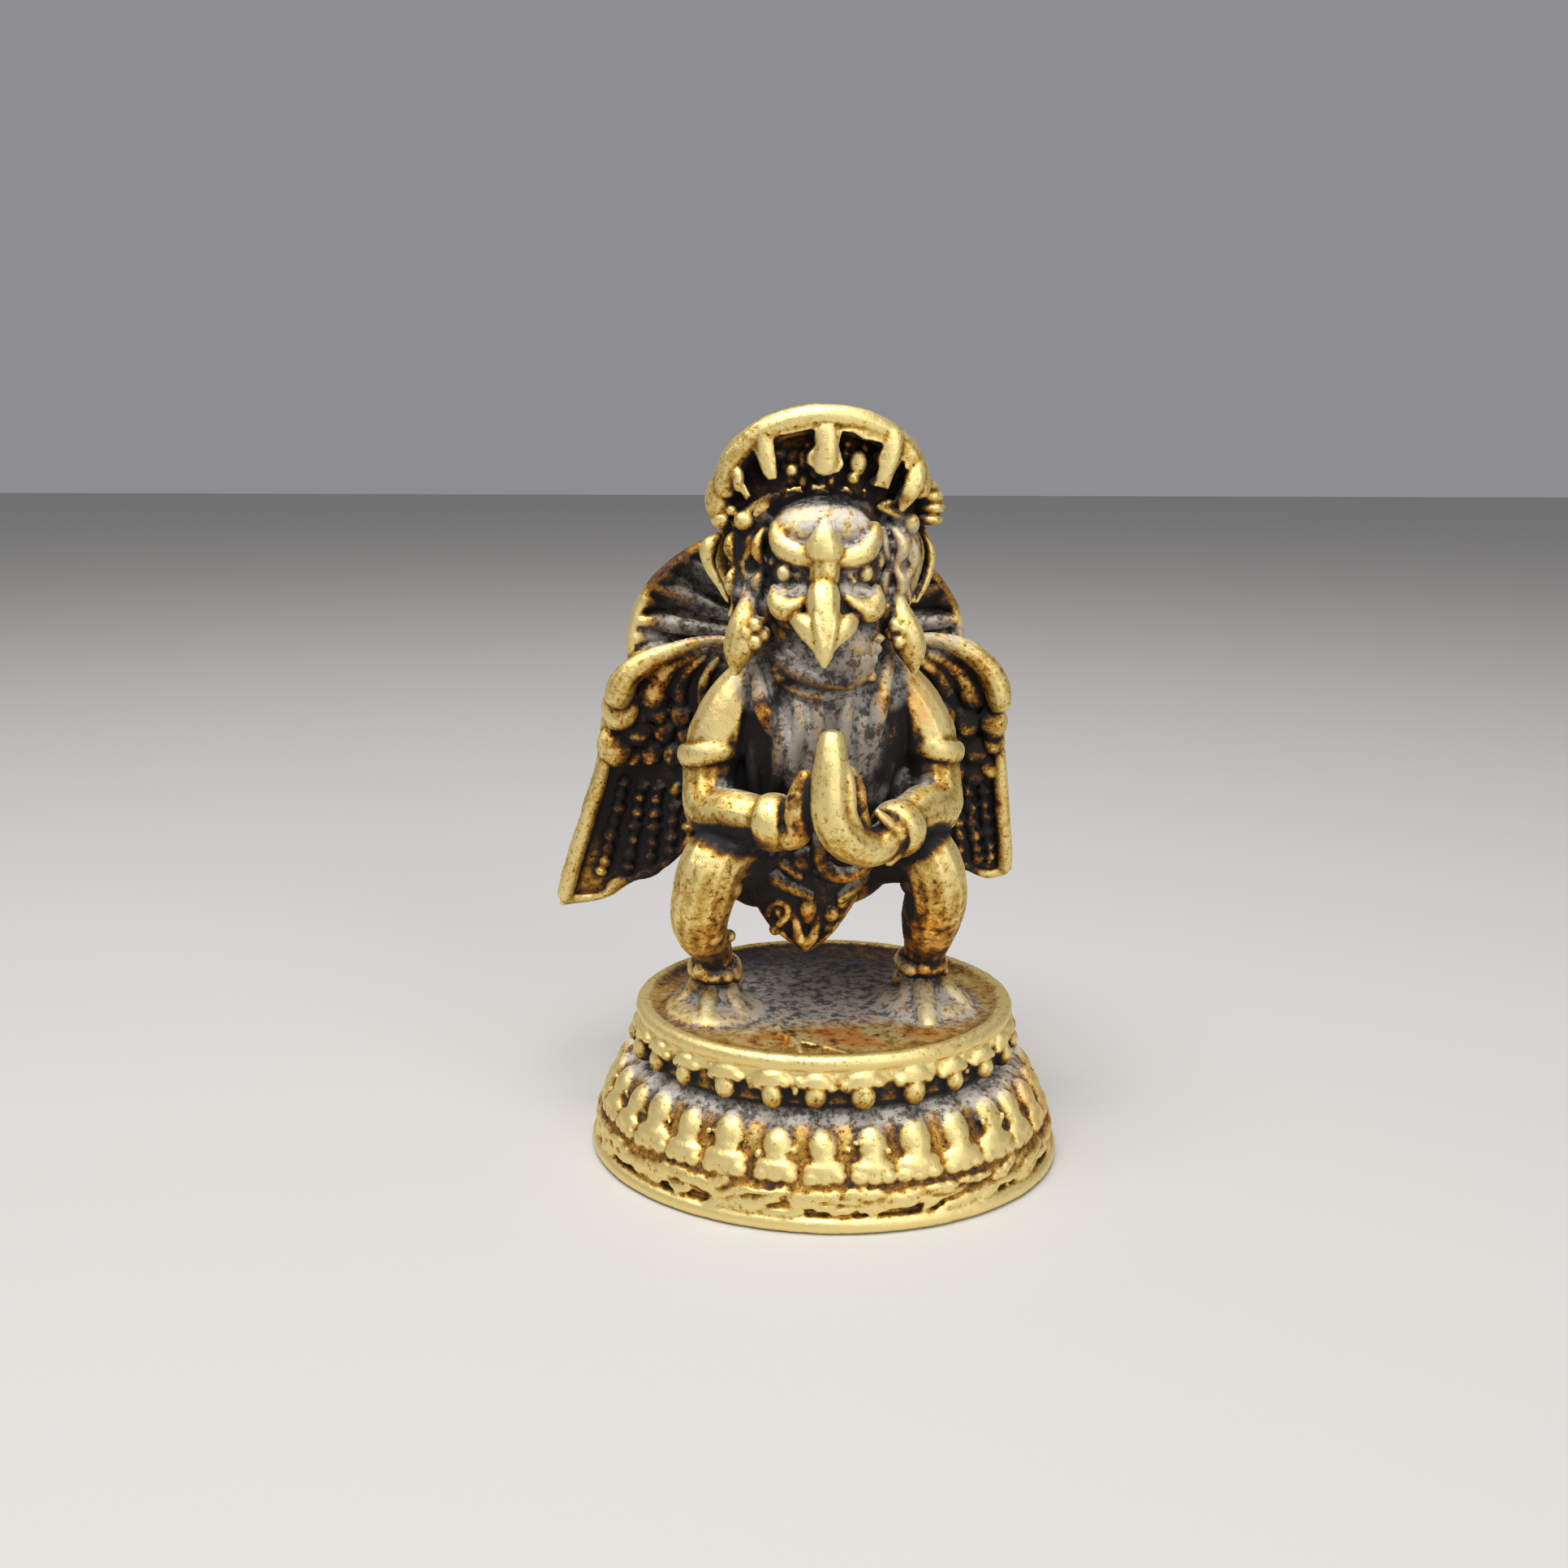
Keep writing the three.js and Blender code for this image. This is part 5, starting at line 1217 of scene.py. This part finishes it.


# Worn cast brass: sand-rough from the mould, handled bright on what stands proud, amber where it is half
# sheltered, black-brown old wax and soot in the recesses, and a grey bloom of dust over ledges. The
# darkening where it is shut in is partly painted shade, and the darkening of what faces down is painted
# shade.
def castBrass():
    material = bpy.data.materials.new("worn_cast_brass")
    material.use_nodes = True
    tree = material.node_tree
    shader = tree.nodes["Principled BSDF"]
    place = addNode(tree, "ShaderNodeTexCoord").node.outputs["Object"]
    facing = addNode(tree, "ShaderNodeNewGeometry").node.outputs["Normal"]
    made = {"upward": addNode(tree, "ShaderNodeSeparateXYZ", i0=facing).node.outputs[2]}
    for name in ("fine", "middle", "wide", "proud", *brushes):
        made[name] = addNode(tree, "ShaderNodeAttribute", {"attribute_name": name}).node.outputs["Fac"]
    for name, (size, detail, roughness) in finish["noises"].items():
        made[name] = addNode(tree, "ShaderNodeTexNoise", Vector=place, Scale=perMm(size), Detail=detail,
                             Roughness=roughness)
    wander = addNode(tree, "ShaderNodeTexNoise", Vector=place, Scale=perMm(finish["wander"]), Detail=3)
    bent = addNode(tree, "ShaderNodeVectorMath", {"operation": "MULTIPLY_ADD"},
                   i0=wander.node.outputs["Color"], i1=(finish["wander"] / 1000,) * 3, i2=place)
    made["cracks"] = addNode(tree, "ShaderNodeTexVoronoi", {"feature": "DISTANCE_TO_EDGE"},
                             Vector=bent, Scale=perMm(finish["crackle"]))
    for name, how, *values in workings:
        inputs = {f"i{number}": made.get(value, value) for number, value in enumerate(values)}
        if how == "SMOOTHSTEP":
            made[name] = addNode(tree, "ShaderNodeMapRange", {"interpolation_type": how}, **inputs)
        else:
            made[name] = addNode(tree, "ShaderNodeMath", {"operation": how}, **inputs)

    ramp = addNode(tree, "ShaderNodeValToRGB", i0=made["wear"])
    stops = ramp.node.color_ramp.elements
    for position, _ in finish["colours"][2:]:
        stops.new(position)
    for stop, (position, hexColour) in zip(stops, finish["colours"]):
        stop.position = position
        stop.color = linear(hexColour)
    colour = addNode(tree, "ShaderNodeMix", {"data_type": "RGBA", "blend_type": "MULTIPLY"},
                     i0=made["warm"], i6=ramp, i7=linear(finish["orange"]))
    film = addNode(tree, "ShaderNodeMix", {"data_type": "RGBA"},
                   i0=made["paler"], i6=linear(finish["film"]), i7=linear(finish["dust"]))
    for amount, over in (("film", film), ("dust", linear(finish["dust"]))):
        colour = addNode(tree, "ShaderNodeMix", {"data_type": "RGBA"}, i0=made[amount], i6=colour, i7=over)
    bump = addNode(tree, "ShaderNodeBump", Strength=finish["bumpStrength"],
                   Distance=finish["bumpHeight"] / 1000, Height=made["height"])
    for socket, value in (("Base Color", colour), ("Metallic", made["metallic"]),
                          ("Roughness", made["roughness"]), ("Normal", bump)):
        tree.links.new(value, shader.inputs[socket])
    return material


def paper():  # an even pale sheet under the casting
    material = bpy.data.materials.new("pale_paper")
    material.use_nodes = True
    shader = material.node_tree.nodes["Principled BSDF"]
    shader.inputs["Base Color"].default_value = linear("#c4c2be")
    shader.inputs["Roughness"].default_value = 0.85
    return material


# The casting's pieces, which meet in its deep creases

print("plinth")
forms = plinthForms() + footForms(feet["left"]) + footForms(feet["right"]) + floorForms()
pieces = [cast("lotus_plinth", forms, waves=plinth["waves"])]
print("body")
forms = legForms(legs["left"]) + legForms(legs["right"]) + apronForms() + sashForms() + trunkForms()
forms += armForms(arms["left"]) + armForms(arms["right"]) + handForms()
pieces.append(cast("garuda_body", forms))
print("head")
forms = faceForms() + hairForms() + earringForms() + crownForms()
pieces.append(cast("garuda_head", forms, casting["fineVoxel"]))
print("wings")
for side in ("left", "right"):
    pieces.append(cast(side + "_wing", wingForms(side), casting["fineVoxel"]))
print("fan")
pieces.append(cast("pleated_fan", fanForms()))

print("marks")
markSurfaces(pieces)
brass = castBrass()
for piece in pieces:
    onlySelect([piece])
    piece.scale = (0.001,) * 3  # mm to m
    bpy.ops.object.transform_apply(location=True, rotation=True, scale=True)
    piece.data.materials.clear()
    piece.data.materials.append(brass)
    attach(piece, "root")
    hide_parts("garuda_figure")

# Floor, light and camera

print("studio")
studio = {
    "lens": 36.02, "distance": 0.0759,  # mm and m
    "yaw": 6, "pitch": 12.6, "roll": 0.4,  # degrees; the camera stands a little to the left and looks down
    "aimAcross": -0.00197, "aimUp": 0.017,  # m
    "lights": {  # place and size in m, power in watts
        "overhead": ((-0.04, -0.06, 0.24), 0.2, 0.74),
        "front": ((0.14, -0.24, 0.12), 0.16, 0.22),
    },
    "lit": (0, 0, 0.015),  # what both lights point at
    "air": "#e6e6ea", "airStrength": 0.34,
}
bpy.ops.object.select_all(action="DESELECT")
bpy.ops.mesh.primitive_plane_add(size=1.6, location=(0, 0, 0))
floor = bpy.context.object
floor.name = "floor"
floor.data.materials.append(paper())
for name, (place, size, power) in studio["lights"].items():
    bpy.ops.object.light_add(type="AREA", location=place)
    light = bpy.context.object
    light.name = name
    light.data.shape = "DISK"
    light.data.size = size
    light.data.energy = power
    light.rotation_euler = (Vector(studio["lit"]) - Vector(place)).to_track_quat("-Z", "Y").to_euler()

world = bpy.data.worlds.new("studio")
bpy.context.scene.world = world
world.use_nodes = True
background = world.node_tree.nodes["Background"]
background.inputs["Color"].default_value = linear(studio["air"])
background.inputs["Strength"].default_value = studio["airStrength"]

yaw, pitch, roll = (math.radians(studio[name]) for name in ("yaw", "pitch", "roll"))
forward = Vector((math.sin(yaw) * math.cos(pitch), math.cos(yaw) * math.cos(pitch), -math.sin(pitch)))
right = Vector((math.cos(yaw), -math.sin(yaw), 0))
over = right.cross(forward)
aim = right * studio["aimAcross"] + over * studio["aimUp"]
turnedRight = right * math.cos(roll) + over * math.sin(roll)
turnedOver = over * math.cos(roll) - right * math.sin(roll)
bpy.ops.object.camera_add(location=aim - forward * studio["distance"])
camera = bpy.context.object
camera.rotation_euler = Matrix((turnedRight, turnedOver, -forward)).transposed().to_euler()
camera.data.sensor_width = 36
camera.data.lens = studio["lens"]
camera.data.clip_start = 0.001
bpy.context.scene.camera = camera
bpy.context.scene.view_settings.view_transform = "Standard"

print("done")
